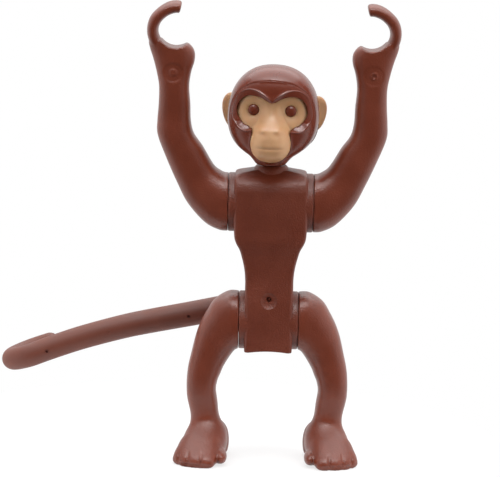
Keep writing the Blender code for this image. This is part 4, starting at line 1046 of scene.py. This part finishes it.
def make_leg(side):
    """One leg with its foot, heel and big toe. The sole is drawn in below the toes."""
    leg = skin("leg", limb_rings(smooth_through(LEG_SECTIONS, 6), side, LEG_FACE, HIP_Z, 96))
    foot = skin("foot", foot_rings(side, 200))
    x, y = foot_place(side, BIG_TOE[0], BIG_TOE[1])
    big_toe = egg("big_toe", (x, y, BIG_TOE[2]), BIG_TOE_SIZES, math.radians(BIG_TOE_TURN) * side)
    heel = egg("heel", (HEEL_LUMP[0] * side, HEEL_LUMP[1], HEEL_LUMP[2]), HEEL_LUMP_SIZES, 0.0)
    combine(leg, "UNION", [foot, big_toe, heel])
    melt(leg, LIMB_VOXEL, 4)
    rise = points_of(leg.data)[:, 2]
    zone = np.clip((rise - ANKLE_ZONE[0]) / ANKLE_FADES[0], 0.0, 1.0)
    zone = zone * np.clip((ANKLE_ZONE[1] - rise) / ANKLE_FADES[1], 0.0, 1.0)
    soften(leg.data, ANKLE_BLEND * zone, ANKLE_ROUNDS)
    points = points_of(leg.data)
    middle = np.array(foot_place(side, *SOLE_MIDDLE))
    away = points[:, :2] - middle
    length = np.maximum(np.linalg.norm(away, axis=1), 0.1)
    low = np.clip((SOLE_RISE - points[:, 2]) / SOLE_RISE, 0.0, 1.0) ** 2
    points[:, :2] -= away * (SOLE_INSET * low / length)[:, None]
    points[:, 2] = np.maximum(points[:, 2], 0.0)
    set_points(leg.data, points)
    return combine(leg, "UNION", limb_peg(LEG_FACE, HIP_Z, side, LEG_FLANGE_RADIUS))


for word, side in (("left", 1), ("right", -1)):
    leg = make_leg(side)
    dress(leg, word + "_leg_moulding", word + "_leg", word + "_leg", satin_limb, 50.0)

# %% [markdown]
# ## Tail
# The tail is a round tapering rod that leaves the back on a short stalk, runs out sideways behind
# the figure and curls back on itself at the end. A curve object with a bevel would do, but a skin
# over circles carried along the path gives the taper and a round tip in one surface.

# %% Tail
# How far the tail's middle line runs behind the back
TAIL_STANDOFF = 2.75
TAIL_ROOT_RADIUS = 1.85
TAIL_TIP_RADIUS = 1.45
TAIL_PEG_LONG = 2.2
# Out along x, above or below the root
TAIL_POINTS = (
    (-4.0, -0.7),
    (-10.2, -2.03),
    (-16.9, -3.4),
    (-21.0, -4.36),
    (-26.6, -6.0),
    (-31.2, -7.65),
)
# The curl: its radius, where its middle lies out along x and below the root, how it slopes and
# sinks on its way round, and how many degrees it turns
TAIL_CURL_RADIUS = 4.03
TAIL_CURL_X = -32.7
TAIL_CURL_DROP = 8.3
TAIL_CURL_SLOPE = 0.37
TAIL_CURL_SINK = 0.6
TAIL_CURL_TURN = 195.0
# Traces of the ejector pins on the tail: out along x, above or below the root, and how far the
# floor of the trace lies in front of the tail's middle line
TAIL_MARKS = ((-11.3, -2.25, 1.5), (-22.6, -4.8, 1.64), (-31.5, -7.78, 1.42))
TAIL_MARK_RADIUS = 0.24
TAIL_MARK_ROUND = 0.08


def tail_path():
    """The tail's middle line: a short stalk, the run through the listed points, and a curl
    whose x follows the sine of its angle and y one less the cosine."""
    behind = back_y + TAIL_STANDOFF
    # The stalk leaves the back straight and bends to the side before it reaches the run's depth
    stalk = [(0.0, TAIL_ROOT[1], tail_z), (-0.1, TAIL_ROOT[1] + 0.8, tail_z),
             (-1.5, behind - 0.45, tail_z - 0.15)]
    run = [(x, behind, tail_z + rise) for x, rise in TAIL_POINTS]
    angle = np.radians(np.linspace(15.0, TAIL_CURL_TURN, 9))
    x = TAIL_CURL_X - TAIL_CURL_RADIUS * np.sin(angle)
    y = behind + TAIL_CURL_RADIUS * (1 - np.cos(angle))
    sink = TAIL_CURL_SINK * (1 - np.cos(angle)) / 2
    z = tail_z - TAIL_CURL_DROP + (x - TAIL_CURL_X) * TAIL_CURL_SLOPE - sink
    return smooth_through(np.vstack((stalk, run, np.column_stack((x, y, z)))), 12)


def tail_rings(count):
    """Circles square to the tail's path, tapering to its tip, and a half ball at the end."""
    path = tail_path()
    heading = np.gradient(path, axis=0)
    heading[0] = (0, 1, 0)
    heading /= np.linalg.norm(heading, axis=1)[:, None]
    travel = np.linspace(0.0, 1.0, len(path))
    radius = TAIL_ROOT_RADIUS + (TAIL_TIP_RADIUS - TAIL_ROOT_RADIUS) * travel
    bend = np.linspace(0.08, math.pi / 2 - 0.03, 14)
    ball = path[-1] + heading[-1] * TAIL_TIP_RADIUS * np.sin(bend)[:, None]
    path = np.vstack((path, ball))
    heading = np.vstack((heading, np.ones((len(bend), 1)) * heading[-1]))
    radius = np.concatenate((radius, TAIL_TIP_RADIUS * np.cos(bend)))
    across = np.cross(heading, (0, 0, 1))
    across /= np.linalg.norm(across, axis=1)[:, None]
    return ovals(path, across, np.cross(across, heading), radius, radius, np.full(len(radius), 2.0), count)


tail = skin("tail", tail_rings(64))
tail_peg = rod("tail_peg", (0, TAIL_ROOT[1] + BITE, tail_z), (0, TAIL_ROOT[1] - TAIL_PEG_LONG, tail_z),
               TAIL_PEG_RADIUS)
combine(tail, "UNION", [tail_peg])
line_y = back_y + TAIL_STANDOFF
pins = []
for x, z, floor_at in TAIL_MARKS:
    mouth, end = (x, line_y - 3.0, tail_z + z), (x, line_y - floor_at, tail_z + z)
    pins.append(rod("pin", mouth, end, TAIL_MARK_RADIUS, 24, TAIL_MARK_ROUND))
combine(tail, "DIFFERENCE", pins)
dress(tail, "tail_moulding", "tail", "tail", soft_tail, 50.0)

# %% [markdown]
# ## The head's form
# The head is an egg that is flatter in front, round at the jaw and a little square at the crown.
# Every piece of it is measured from one centre: an angle round the face, a radius, and a depth
# ahead of the plane where the front mask meets the rear shell. A box with a subdivision surface
# could give one such egg, but mask, face and rear shell have to share it, so it is a formula that
# each of them asks. The whole head leans and turns a little on its neck, as it does in the picture.

# %% The head's form
HEAD_WIDE = 6.35
HEAD_UP = 7.1
HEAD_DOWN = 6.65
HEAD_SQUARE = 2.22
HEAD_FRONT = 5.9
HEAD_BACK = 6.3
NECK_SHOWS = 0.3
HEAD_TURN = -3.5
HEAD_Z = COLLAR_TOP_Z + NECK_SHOWS + HEAD_DOWN
base_z = HEAD_Z - HEAD_DOWN
# Each table starts with the angle above the level line and is the same on both sides. The jaw's
# outline and the window's edge are radii, and the powers say how square the front is.
JAW_OUTLINE = ((0.0, HEAD_WIDE), (-15.0, 6.4), (-30.0, 6.4), (-40.0, 6.3), (-50.0, 6.14),
               (-60.0, 6.1), (-67.0, 6.36), (-73.0, 6.7), (-80.0, 6.7), (-90.0, HEAD_DOWN))
FRONT_POWERS = ((90.0, 3.3), (40.0, 2.9), (0.0, 2.8), (-30.0, 3.3), (-45.0, 4.2), (-60.0, 5.2), (-90.0, 6.0))
WINDOW_EDGE = (
    (90.0, 2.34),
    (77.0, 2.57),
    (66.0, 3.2),
    (56.0, 3.85),
    (47.0, 4.45),
    (38.0, 4.88),
    (28.0, 5.1),
    (19.0, 5.12),
    (10.0, 4.97),
    (2.0, 4.6),
    (-5.0, 4.2),
    (-10.0, 3.95),
    (-16.0, 3.4),
    (-25.0, 3.08),
    (-30.0, 3.05),
    (-38.0, 3.4),
    (-45.0, 3.97),
    (-53.0, 4.58),
    (-60.0, 5.08),
    (-68.0, 5.45),
    (-77.0, 5.76),
    (-90.0, 5.95),
)

pivot_z = neck[2]
lean = math.atan2(joints["neck"]["axis"][0], joints["neck"]["axis"][2])
head_pose = (Matrix.Translation((0, 0, pivot_z)) @ Matrix.Rotation(lean, 4, "Y")
             @ Matrix.Rotation(math.radians(HEAD_TURN), 4, "Z") @ Matrix.Translation((0, 0, -pivot_z)))


def by_angle(table, turn):
    """A value of a table by its angle, the same on both sides, along a smooth curve."""
    line = smooth_through(table, 8)[::-1]
    half_turn = np.degrees(np.arcsin(np.clip(np.sin(turn), -1.0, 1.0)))
    return np.interp(half_turn, line[:, 0], line[:, 1])


def outline_radius(turn):
    """Radius of the head's widest outline: a superellipse above, and a jaw that narrows below."""
    wide, tall = np.abs(np.cos(turn)) / HEAD_WIDE, np.abs(np.sin(turn)) / HEAD_UP
    crown = (wide**HEAD_SQUARE + tall**HEAD_SQUARE) ** (-1.0 / HEAD_SQUARE)
    return np.where(np.sin(turn) > 0, crown, by_angle(JAW_OUTLINE, turn))


def front_depth(radius, turn):
    """How far the front lies ahead of the widest plane: a superellipse in the radius, fuller
    towards the jaw."""
    power = by_angle(FRONT_POWERS, turn)
    share = np.clip(radius / outline_radius(turn), 0.0, 1.0)
    return HEAD_FRONT * (1.0 - share**power) ** (1.0 / power)


def head_rings(radius, ahead, turn):
    """Rings about the head's centre from arrays of radius and depth ahead of it."""
    radius, ahead = np.broadcast_arrays(radius, ahead)
    return np.stack((radius * np.cos(turn), -ahead, HEAD_Z + radius * np.sin(turn)), axis=-1)


print("head centre", round(HEAD_Z, 2), "lean", round(math.degrees(lean), 2))

# %% [markdown]
# ## Ridge and rim
# The front of the head is a polished brown mask with a goggle-shaped window. A ridge runs over the
# window, and a raised rim goes round the face from ear to ear and down to the jaw. Both could be
# curves laid on the head. As tables of a radius for an angle, like the window's edge, they are set
# from the picture, and the mask can ask for them at every angle.

# %% Ridge and rim
# Radii of the ridge over the window and of the rim, by the angle above the level line
RIDGE_LINE = (
    (90.0, 2.62),
    (81.0, 3.0),
    (70.0, 3.77),
    (61.0, 4.56),
    (53.0, 5.18),
    (44.0, 5.58),
    (35.0, 5.78),
    (27.0, 5.74),
    (10.0, 5.6),
    (0.0, 5.35),
    (-7.0, 5.0),
    (-14.0, 4.75),
    (-21.0, 4.2),
    (-26.0, 3.4),
    (-30.0, 3.1),
    (-40.0, 3.5),
    (-90.0, 5.95),
)
RIM_LINE = (
    (90.0, 5.36),
    (75.0, 5.4),
    (63.0, 5.6),
    (52.0, 5.76),
    (35.0, 5.97),
    (14.0, 5.9),
    (0.0, 5.82),
    (-15.0, 5.76),
    (-29.0, 5.75),
    (-45.0, 5.84),
    (-60.0, 5.72),
    (-75.0, 6.0),
    (-90.0, 6.35),
)

top = np.array(math.pi / 2)
print("over the brow, ridge and rim lie", round(float(by_angle(RIDGE_LINE, top)), 2), "and",
      round(float(by_angle(RIM_LINE, top)), 2), "mm above the centre")

# %% [markdown]
# ## The mask
# The window frames the pale face with an inward bevel, and between ridge and rim the brow is sunk.
# These forms could be cut into an egg one after the other. Carrying one profile round the window
# gives all of them at once, with even rows that mirror cleanly: the profile's rows are the lip, the
# bevel, the sunk band, the step of the rim and the crown.

# %% The mask
# How deep the window's lip lies below the head's form, and how wide the bevel up from it is
WINDOW_LIP = ((90.0, 0.5), (8.0, 0.5), (-5.0, 0.68), (-25.0, 0.68), (-36.0, 0.5), (-90.0, 0.5))
BEVEL_WIDE = 0.8
BROW_RECESS = 0.35
CHEEK_RECESS = 0.16
RIM_FILLET = 0.12
# The upright brow: its drop behind the ridge, its lean for each millimetre up, and how far it may
# stand ahead of the sunk form
RIDGE_DROP = 0.12
BROW_LEAN = 0.06
BROW_KEEP = 0.25
# Where ridge and rim come closer than this, the sunk band between them grows shallow
BROW_ROOM = 1.2
# Shares of the way at which the profile has rows: up the bevel, and from the ridge to the rim
BEVEL_STEPS = (0.0, 0.2, 0.4, 0.6, 0.8, 0.93, 1.0)
BROW_STEPS = (0.03, 0.07, 0.12, 0.18, 0.25, 0.38, 0.52, 0.68, 0.84, 0.95)
def mask_rings(count):
    """Rows of the profile from the window's lip up the bevel to the ridge, through the hollow of
    the brow, up the rim's step and over the crown, then back along the inside of the wall. The
    brow is upright: each of its rows lies as far ahead as the foot of the ridge, or less."""
    turn = turns(count)
    edge, outer = by_angle(WINDOW_EDGE, turn), outline_radius(turn)
    ridge = np.maximum(by_angle(RIDGE_LINE, turn), edge + 0.03)
    rim = np.maximum(by_angle(RIM_LINE, turn), ridge + 0.1)
    lip = by_angle(WINDOW_LIP, turn) * np.clip((ridge - edge) / BEVEL_WIDE, 0.0, 1.0)
    brow = np.clip((np.sin(turn) + 0.35) / 0.5, 0.0, 1.0)
    room = np.clip((rim - ridge) / BROW_ROOM, 0.0, 1.0)
    recess = (CHEEK_RECESS + (BROW_RECESS - CHEEK_RECESS) * brow) * room
    # The lip's rounded edge, then the bevel, which flattens out towards the ridge
    foot = front_depth(edge, turn) - lip
    rows = [(edge, foot - 0.15), (edge + 0.02, foot - 0.06)]
    for t in BEVEL_STEPS:
        radius = edge + 0.05 + (ridge - edge - 0.05) * t
        rows.append((radius, front_depth(radius, turn) - lip * (1 - t) ** 0.8 - 0.05 * t**4))
    top = front_depth(ridge, turn)
    upright = np.clip((np.sin(turn) - 0.1) / 0.5, 0.0, 1.0) * room
    for t in BROW_STEPS:
        radius = ridge + (rim - ridge) * t
        sunk = front_depth(radius, turn) - recess * (1.0 - (1.0 - min(t / 0.3, 1.0)) ** 2)
        wall = top - RIDGE_DROP * (1.0 - (1.0 - min(t / 0.18, 1.0)) ** 2) - BROW_LEAN * t * (rim - ridge)
        rows.append((radius, sunk + BROW_KEEP * np.tanh((wall - sunk) / BROW_KEEP) * upright))
    # The rim's step, an S from the sunk band up to the crown
    low = rows[-1][1]
    high = front_depth(rim + RIM_FILLET, turn)
    for t in np.linspace(-1.0, 1.0, 9):
        share = 0.5 + 0.5 * math.sin(t * math.pi / 2)
        rows.append((rim + RIM_FILLET * t * abs(t) * 0.7, low + (high - low) * share))
    rings = [head_rings(radius, ahead, turn) for radius, ahead in rows]
    # The crown, in rows that crowd towards the parting where it is steep
    start = np.arcsin(np.clip((rim + RIM_FILLET) / outer, 0.0, 1.0))
    for share in np.linspace(0.0, 1.0, 26)[1:-1]:
        ratio = np.sin(start * (1 - share) + math.pi / 2 * share)
        rings.append(head_rings(outer * ratio, front_depth(outer * ratio, turn), turn))
    rings.append(head_rings(outer, SEAM_SHOWS / 2, turn))
    # The inside of the wall, the same form scaled down
    keep = 1.0 - WALL / HEAD_WIDE
    for share in (1.0, 0.97, 0.85, 0.6, 0.3, 0.0):
        radius = edge + (outer - edge) * share
        ahead = np.maximum(front_depth(radius, turn) * keep, SEAM_SHOWS / 2)
        rings.append(head_rings(np.maximum(radius * keep, edge), ahead, turn))
    return np.stack(rings)


mask = skin("mask", mask_rings(288), loop=True)
print("mask", len(mask.data.polygons), "faces before it is cut")

# %% [markdown]
# ## Slots for the ears and room for the neck
# The ears' roots come out at the parting of the two brown halves, through a slot that each half
# makes one side of, and the neck's peg comes in from below. Mask and rear shell are cut with the
# same blocks, so the slots always meet.

# %% Slots for the ears and room for the neck
EAR_Z = 0.45
EAR_ROOT_HIGH = 2.8
EAR_ROOT_AHEAD = 0.2
EAR_ROOT_BEHIND = 0.8
EAR_ROOT_FROM = 4.55
SLOT_FROM = 4.05
SLOT_TO = 9.8
NECK_ROOM_HIGH = 2.5


def ear_slots():
    """Slots at the parting that the ears' roots come out of."""
    slots = []
    middle, high = HEAD_Z + EAR_Z, EAR_ROOT_HIGH / 2
    for side in (-1, 1):
        near = (side * SLOT_FROM, -EAR_ROOT_AHEAD - SEAM_SHOWS, middle - high - SEAM_SHOWS)
        far = (side * SLOT_TO, EAR_ROOT_BEHIND + SEAM_SHOWS, middle + high + SEAM_SHOWS)
        slots.append(block("slot", near, far))
    return slots


def neck_room():
    """The room for the neck's peg in the base of the head."""
    return rod("neck_room", (0, 0, base_z - 1), (0, 0, base_z + NECK_ROOM_HIGH), NECK_RADIUS + RUN_GAP)


combine(mask, "DIFFERENCE", [neck_room(), *ear_slots()])
dress(mask, "face_mask", "head", "head_front", polished, 38.0, head_pose)

# %% [markdown]
# ## The rear shell
# The rear shell closes the head from behind. It is a plain cup with the mask's outline, but under
# the ears it stands a little past the mask, as two mouldings that don't quite match. A half ball,
# scaled, would miss the jaw, so the outline's own formula is used again.

# %% The rear shell
REAR_POWER = 2.3
# How far the shell stands past the mask, the angle at which it does so most, and over what angle
REAR_LARGER = 0.13
LARGER_AT = -28.0
LARGER_OVER = 16.0


def rear_depth(share):
    """How far the rear shell reaches back at a share of the outline, a superellipse too."""
    return HEAD_BACK * np.sqrt(np.maximum(1.0 - share**REAR_POWER, 0.0))


def rear_rings(count):
    """The rear shell as a cup, from its outer pole round the rim to its inner pole."""
    turn = turns(count)
    angle = np.degrees(np.arcsin(np.sin(turn)))
    outer = outline_radius(turn) + REAR_LARGER * np.exp(-(((angle - LARGER_AT) / LARGER_OVER) ** 2))
    shares = np.sin(np.radians(np.linspace(1.0, 89.0, 40)))
    keep = 1.0 - WALL / HEAD_WIDE
    rings = [head_rings(outer * share, -rear_depth(share), turn) for share in shares]
    rings.append(head_rings(outer, -SEAM_SHOWS / 2, turn))
    rings.append(head_rings(outer * keep, -SEAM_SHOWS / 2, turn))
    for share in shares[::-4]:
        depth = max(float(rear_depth(share)) * keep, SEAM_SHOWS / 2)
        rings.append(head_rings(outer * share * keep, -depth, turn))
    return np.stack(rings)


rear = skin("rear", rear_rings(192))
combine(rear, "DIFFERENCE", ear_slots())
print("rear shell", len(rear.data.polygons), "faces")

# %% [markdown]
# ## Features of the face
# The face is one beige moulding behind the mask. Its surface is a height over the face's plane:
# the head's own curve, less two bowls for the eyes, plus a bridge that widens into the nose, plus
# the block of the muzzle. The mouth is a groove in a band of lips that stands out a little. The
# face could be sculpted by hand, but each of these forms is a soft hill or hollow with a formula.

# %% Features of the face
FACE_RECESS = 0.85
EYE_X = 2.56
EYE_Z = 1.24
# Soft hills and hollows, the same on both sides: across, up, half width, half height, how far the
# middle stands out, and the power that makes the edge steeper
EYE_BOWLS = (
    (EYE_X, EYE_Z, 1.8, 1.8, -0.38, 2.0),
    (EYE_X, EYE_Z, 1.1, 1.1, -0.35, 2.4),
)
NOSE_FORMS = (
    (1.2, -1.2, 0.6, 0.5, 0.26, 2.0),
    (0.0, -0.9, 0.8, 0.8, 0.16, 2.0),
    (0.85, -1.85, 0.6, 0.45, -0.09, 2.0),
)
# The muzzle from bridge to chin: height, half width, how far it stands out, how round its sides are
MUZZLE_SECTIONS = (
    (2.6, 1.1, 0.0, 1.6),
    (1.9, 1.2, 0.1, 1.6),
    (1.2, 1.4, 0.28, 1.6),
    (0.5, 1.65, 0.58, 1.5),
    (-0.2, 2.0, 1.02, 1.4),
    (-0.8, 2.35, 1.54, 1.25),
    (-1.4, 2.7, 1.98, 1.05),
    (-2.0, 2.9, 2.28, 0.9),
    (-2.6, 3.0, 2.42, 0.75),
    (-3.2, 3.02, 2.43, 0.65),
    (-4.2, 2.95, 2.38, 0.55),
    (-4.9, 2.72, 2.2, 0.5),
    (-5.5, 2.2, 1.65, 0.6),
    (-5.9, 1.6, 0.85, 0.8),
    (-6.2, 1.0, 0.0, 1.0),
)
MUZZLE_POWER = 2.6
LIP_TOP = -3.05
LIP_FOOT = -4.8
LIP_WIDE = 2.5
LIP_PROUD = 0.1
MOUTH_Z = -3.74
MOUTH_WIDE = 1.9
MOUTH_HIGH = 0.19
MOUTH_DEEP = 0.11


def hills(forms, side, z):
    """The sum of soft hills: each is as high as it stands out, times e to minus the powered
    distances across and up from its middle."""
    total = 0.0
    for across, up, wide, high, proud, power in forms:
        out = (((side - across) / wide) ** 2) ** (power / 2) + (((z - up) / high) ** 2) ** (power / 2)
        total = total + proud * np.exp(-out)
    return total


def soft_step(value, width):
    """From nought to one over a width on both sides of nought."""
    return 1.0 / (1.0 + np.exp(-4.0 * value / width))


def face_ahead(x, z):
    """Depth of the face ahead of the widest plane, from x across and z above the centre: the
    head's form, the bowls, the muzzle, the nose, the lips less the mouth."""
    radius, turn = np.hypot(x, z), np.arctan2(z, x)
    side = np.abs(x)
    ahead = front_depth(radius, turn) - FACE_RECESS + hills(EYE_BOWLS, side, z)
    line = smooth_through(MUZZLE_SECTIONS, 8)[::-1]
    wide, proud, round_off = (np.interp(z, line[:, 0], line[:, k]) for k in (1, 2, 3))
    ahead = ahead + proud * np.clip(1.0 - (side / wide) ** MUZZLE_POWER, 0.0, 1.0) ** round_off
    ahead = ahead + hills(NOSE_FORMS, side, z)
    lips = soft_step(LIP_TOP - z, 0.5) * soft_step(z - LIP_FOOT, 1.4) * np.exp(-((x / LIP_WIDE) ** 6))
    mouth = np.exp(-(((z - MOUTH_Z) / MOUTH_HIGH) ** 2)) * np.exp(-((x / MOUTH_WIDE) ** 6))
    return ahead + LIP_PROUD * lips - MOUTH_DEEP * mouth


print("tip of the muzzle", round(float(face_ahead(np.array(0.0), np.array(LIP_TOP))), 2), "mm ahead")

# %% [markdown]
# ## The pale face
# Behind the mask the pale moulding is shaped like a hat. Its crown fills the window, and its brim
# is held at the parting of the two brown halves. A sheet with a Solidify modifier would be as
# thick but have no brim, so one stack of rings runs over the crown, out to the brim and back inside.

# %% The pale face
# How far ahead of the parting the brim's faces lie, and how far above the brim the wall's foot
BRIM_TOP = 0.65
BRIM_FOOT = SEAM_GAP / 2 - 0.2
BRIM_FILLET = 0.05


def face_rings(count):
    """The face as a closed hat: crown with the features, walls down to a brim at the parting."""
    turn = turns(count)
    edge = by_angle(WINDOW_EDGE, turn) - SEAM_SHOWS / 2
    brim = np.maximum(outline_radius(turn) * (1.0 - WALL / HEAD_WIDE) - SEAM_GAP, edge + 0.02)
    rings = []
    # The crown with the features
    for share in np.linspace(0.004, 1.0, 120):
        radius = edge * share
        rings.append(head_rings(radius, face_ahead(radius * np.cos(turn), radius * np.sin(turn)), turn))
    inner = edge - WALL * 0.8
    rings.append(head_rings(edge, BRIM_TOP + BRIM_FILLET, turn))
    for radius, ahead in ((brim, BRIM_TOP), (brim, BRIM_FOOT), (inner, BRIM_FOOT)):
        rings.append(head_rings(radius, ahead, turn))
    # The inside, one wall below the crown
    for share in (1.0, 0.8, 0.55, 0.3, 0.01):
        radius = inner * share
        under = face_ahead(radius * np.cos(turn), radius * np.sin(turn)) - WALL
        rings.append(head_rings(radius, under - 0.25 * share, turn))
    return np.stack(rings)


face = skin("face", face_rings(288))
print("face", len(face.data.polygons), "faces")

# %% [markdown]
# ## Eyes
# The eyes are the domed ends of two long pins, which reach forward from the rear shell and come
# through holes in the bowls of the face. Painted eyes would look the same from the front, but the
# real ones stand out in the brown of the head and catch a glint.

# %% Eyes
EYE_RADIUS = 0.78
EYE_PROUD = 0.58
EYE_DOME = 0.5
EYE_HOLE_WIDER = 0.01
# How far behind the parting the pins start
PIN_BACK = 4.2

front = float(face_ahead(np.array(EYE_X), np.array(EYE_Z)))
tip = front + EYE_PROUD
dome = np.linspace(0.0, math.pi / 2 - 0.02, 16)
profile = [(0.0, EYE_RADIUS)]
profile += zip(1.0 - EYE_DOME * (1.0 - np.sin(dome)) / (PIN_BACK + tip), EYE_RADIUS * np.cos(dome))
for side in (-1, 1):
    x, z = side * EYE_X, HEAD_Z + EYE_Z
    hole = rod("eye_hole", (x, 0.0, z), (x, -front - 2.0, z), EYE_RADIUS + EYE_HOLE_WIDER, 96)
    combine(face, "DIFFERENCE", [hole])
    combine(rear, "UNION", [turned("eye_pin", (x, PIN_BACK, z), (x, -tip, z), profile, 96)])
print("eye pins", round(PIN_BACK + tip, 2), "mm long")

# %% [markdown]
# ## Ears
# The ears belong to the pale moulding and come out at the parting of the two brown halves. Each is
# a thin cupped leaf: its front is dished inside a raised rim. A torus cut in half would give the
# rim alone, so the leaf is a flattened ball with its front pressed in, trimmed by the head's form.

# %% Ears
# Where an ear's middle lies, out from the head's outline and behind the parting
EAR_OUT = -0.5
EAR_BACK = 0.75
EAR_WIDE = 1.75
EAR_THICK = 0.8
EAR_HIGH = 2.45
EAR_SWEEP = 38.0
EAR_TOP_WIDER = 0.22
EAR_HOLLOW = 0.35
EAR_VOXEL = 0.09
# How much smaller than the head the form is that trims the ears, so that they reach into it
SKULL_SMALLER = 0.12


def ear_leaf(side):
    """A flattened ball, wider above than below: rings stacked from its front pole to its back
    one. A smooth hollow presses the front in, away from the rim."""
    arc = np.linspace(0.03, math.pi - 0.03, 70)[:, None]
    turn = turns(96)[None, :]
    x = EAR_WIDE * np.sin(arc) * np.cos(turn) * (1.0 + EAR_TOP_WIDER * np.sin(arc) * np.sin(turn))
    z = EAR_HIGH * np.sin(arc) * np.sin(turn)
    hollow = np.where(arc < math.pi / 2, EAR_HOLLOW * np.exp(-((np.sin(arc) ** 2 / 0.5) ** 2)), 0.0)
    y = -EAR_THICK * np.cos(arc) + hollow + 0 * turn
    spin = np.array(Matrix.Rotation(side * math.radians(EAR_SWEEP), 3, "Z"))
    leaf = np.stack((x, y, z), axis=-1) @ spin.T
    return skin("ear", leaf + (side * (HEAD_WIDE + EAR_OUT), EAR_BACK, HEAD_Z + EAR_Z))


def skull_blank(grow):
    """The whole head as a closed egg, grown or shrunk all round, to trim the ears' inner sides."""
    turn = turns(128)
    outer = outline_radius(turn)
    larger = 1.0 + grow / HEAD_WIDE
    rings = []
    for angle in np.radians(np.linspace(-88.0, 88.0, 60)):
        share = math.cos(angle)
        ahead = front_depth(share * outer, turn) if angle < 0 else -rear_depth(share)
        rings.append(head_rings(outer * share * larger, ahead * larger, turn))
    return skin("skull", np.stack(rings))


for side in (-1, 1):
    ear = melt(combine(ear_leaf(side), "DIFFERENCE", [skull_blank(-SKULL_SMALLER)]), EAR_VOXEL, 5)
    high = EAR_ROOT_HIGH / 2
    root = block("root", (side * EAR_ROOT_FROM, -EAR_ROOT_AHEAD, HEAD_Z + EAR_Z - high),
                 (side * (HEAD_WIDE - 0.04), EAR_ROOT_BEHIND, HEAD_Z + EAR_Z + high))
    combine(face, "UNION", [ear, root])
combine(face, "DIFFERENCE", [neck_room()])
dress(face, "pale_face_and_ears", "head", "face_and_ears", beige, 38.0, head_pose)

# %% [markdown]
# ## The neck
# The head turns on a peg of the rear shell. A flange at its foot holds it under the torso's roof,
# and a rib joins it to the shell's back wall. All of that is hidden, but it shows what holds the
# head when the two torso shells are taken off.

# %% The neck
NECK_FLANGE_RADIUS = 2.4
PEG_TOP = 2.2
RIB_FOOT = 1.2
RIB_HALF = 0.5
RIB_BACK = 3.4

flange_z = pivot_z - FLANGE_THICK / 2
peg = rod("neck_peg", (0, 0, pivot_z), (0, 0, base_z + PEG_TOP), NECK_RADIUS)
flange = rod("neck_flange", (0, 0, flange_z), (0, 0, flange_z + FLANGE_THICK), NECK_FLANGE_RADIUS)
rib = block("rib", (-RIB_HALF, 0.5, base_z + RIB_FOOT), (RIB_HALF, RIB_BACK, base_z + PEG_TOP))
combine(rear, "UNION", [peg, flange, rib])
dress(rear, "rear_shell_and_eyes", "head", "head_back", polished, 38.0, head_pose)
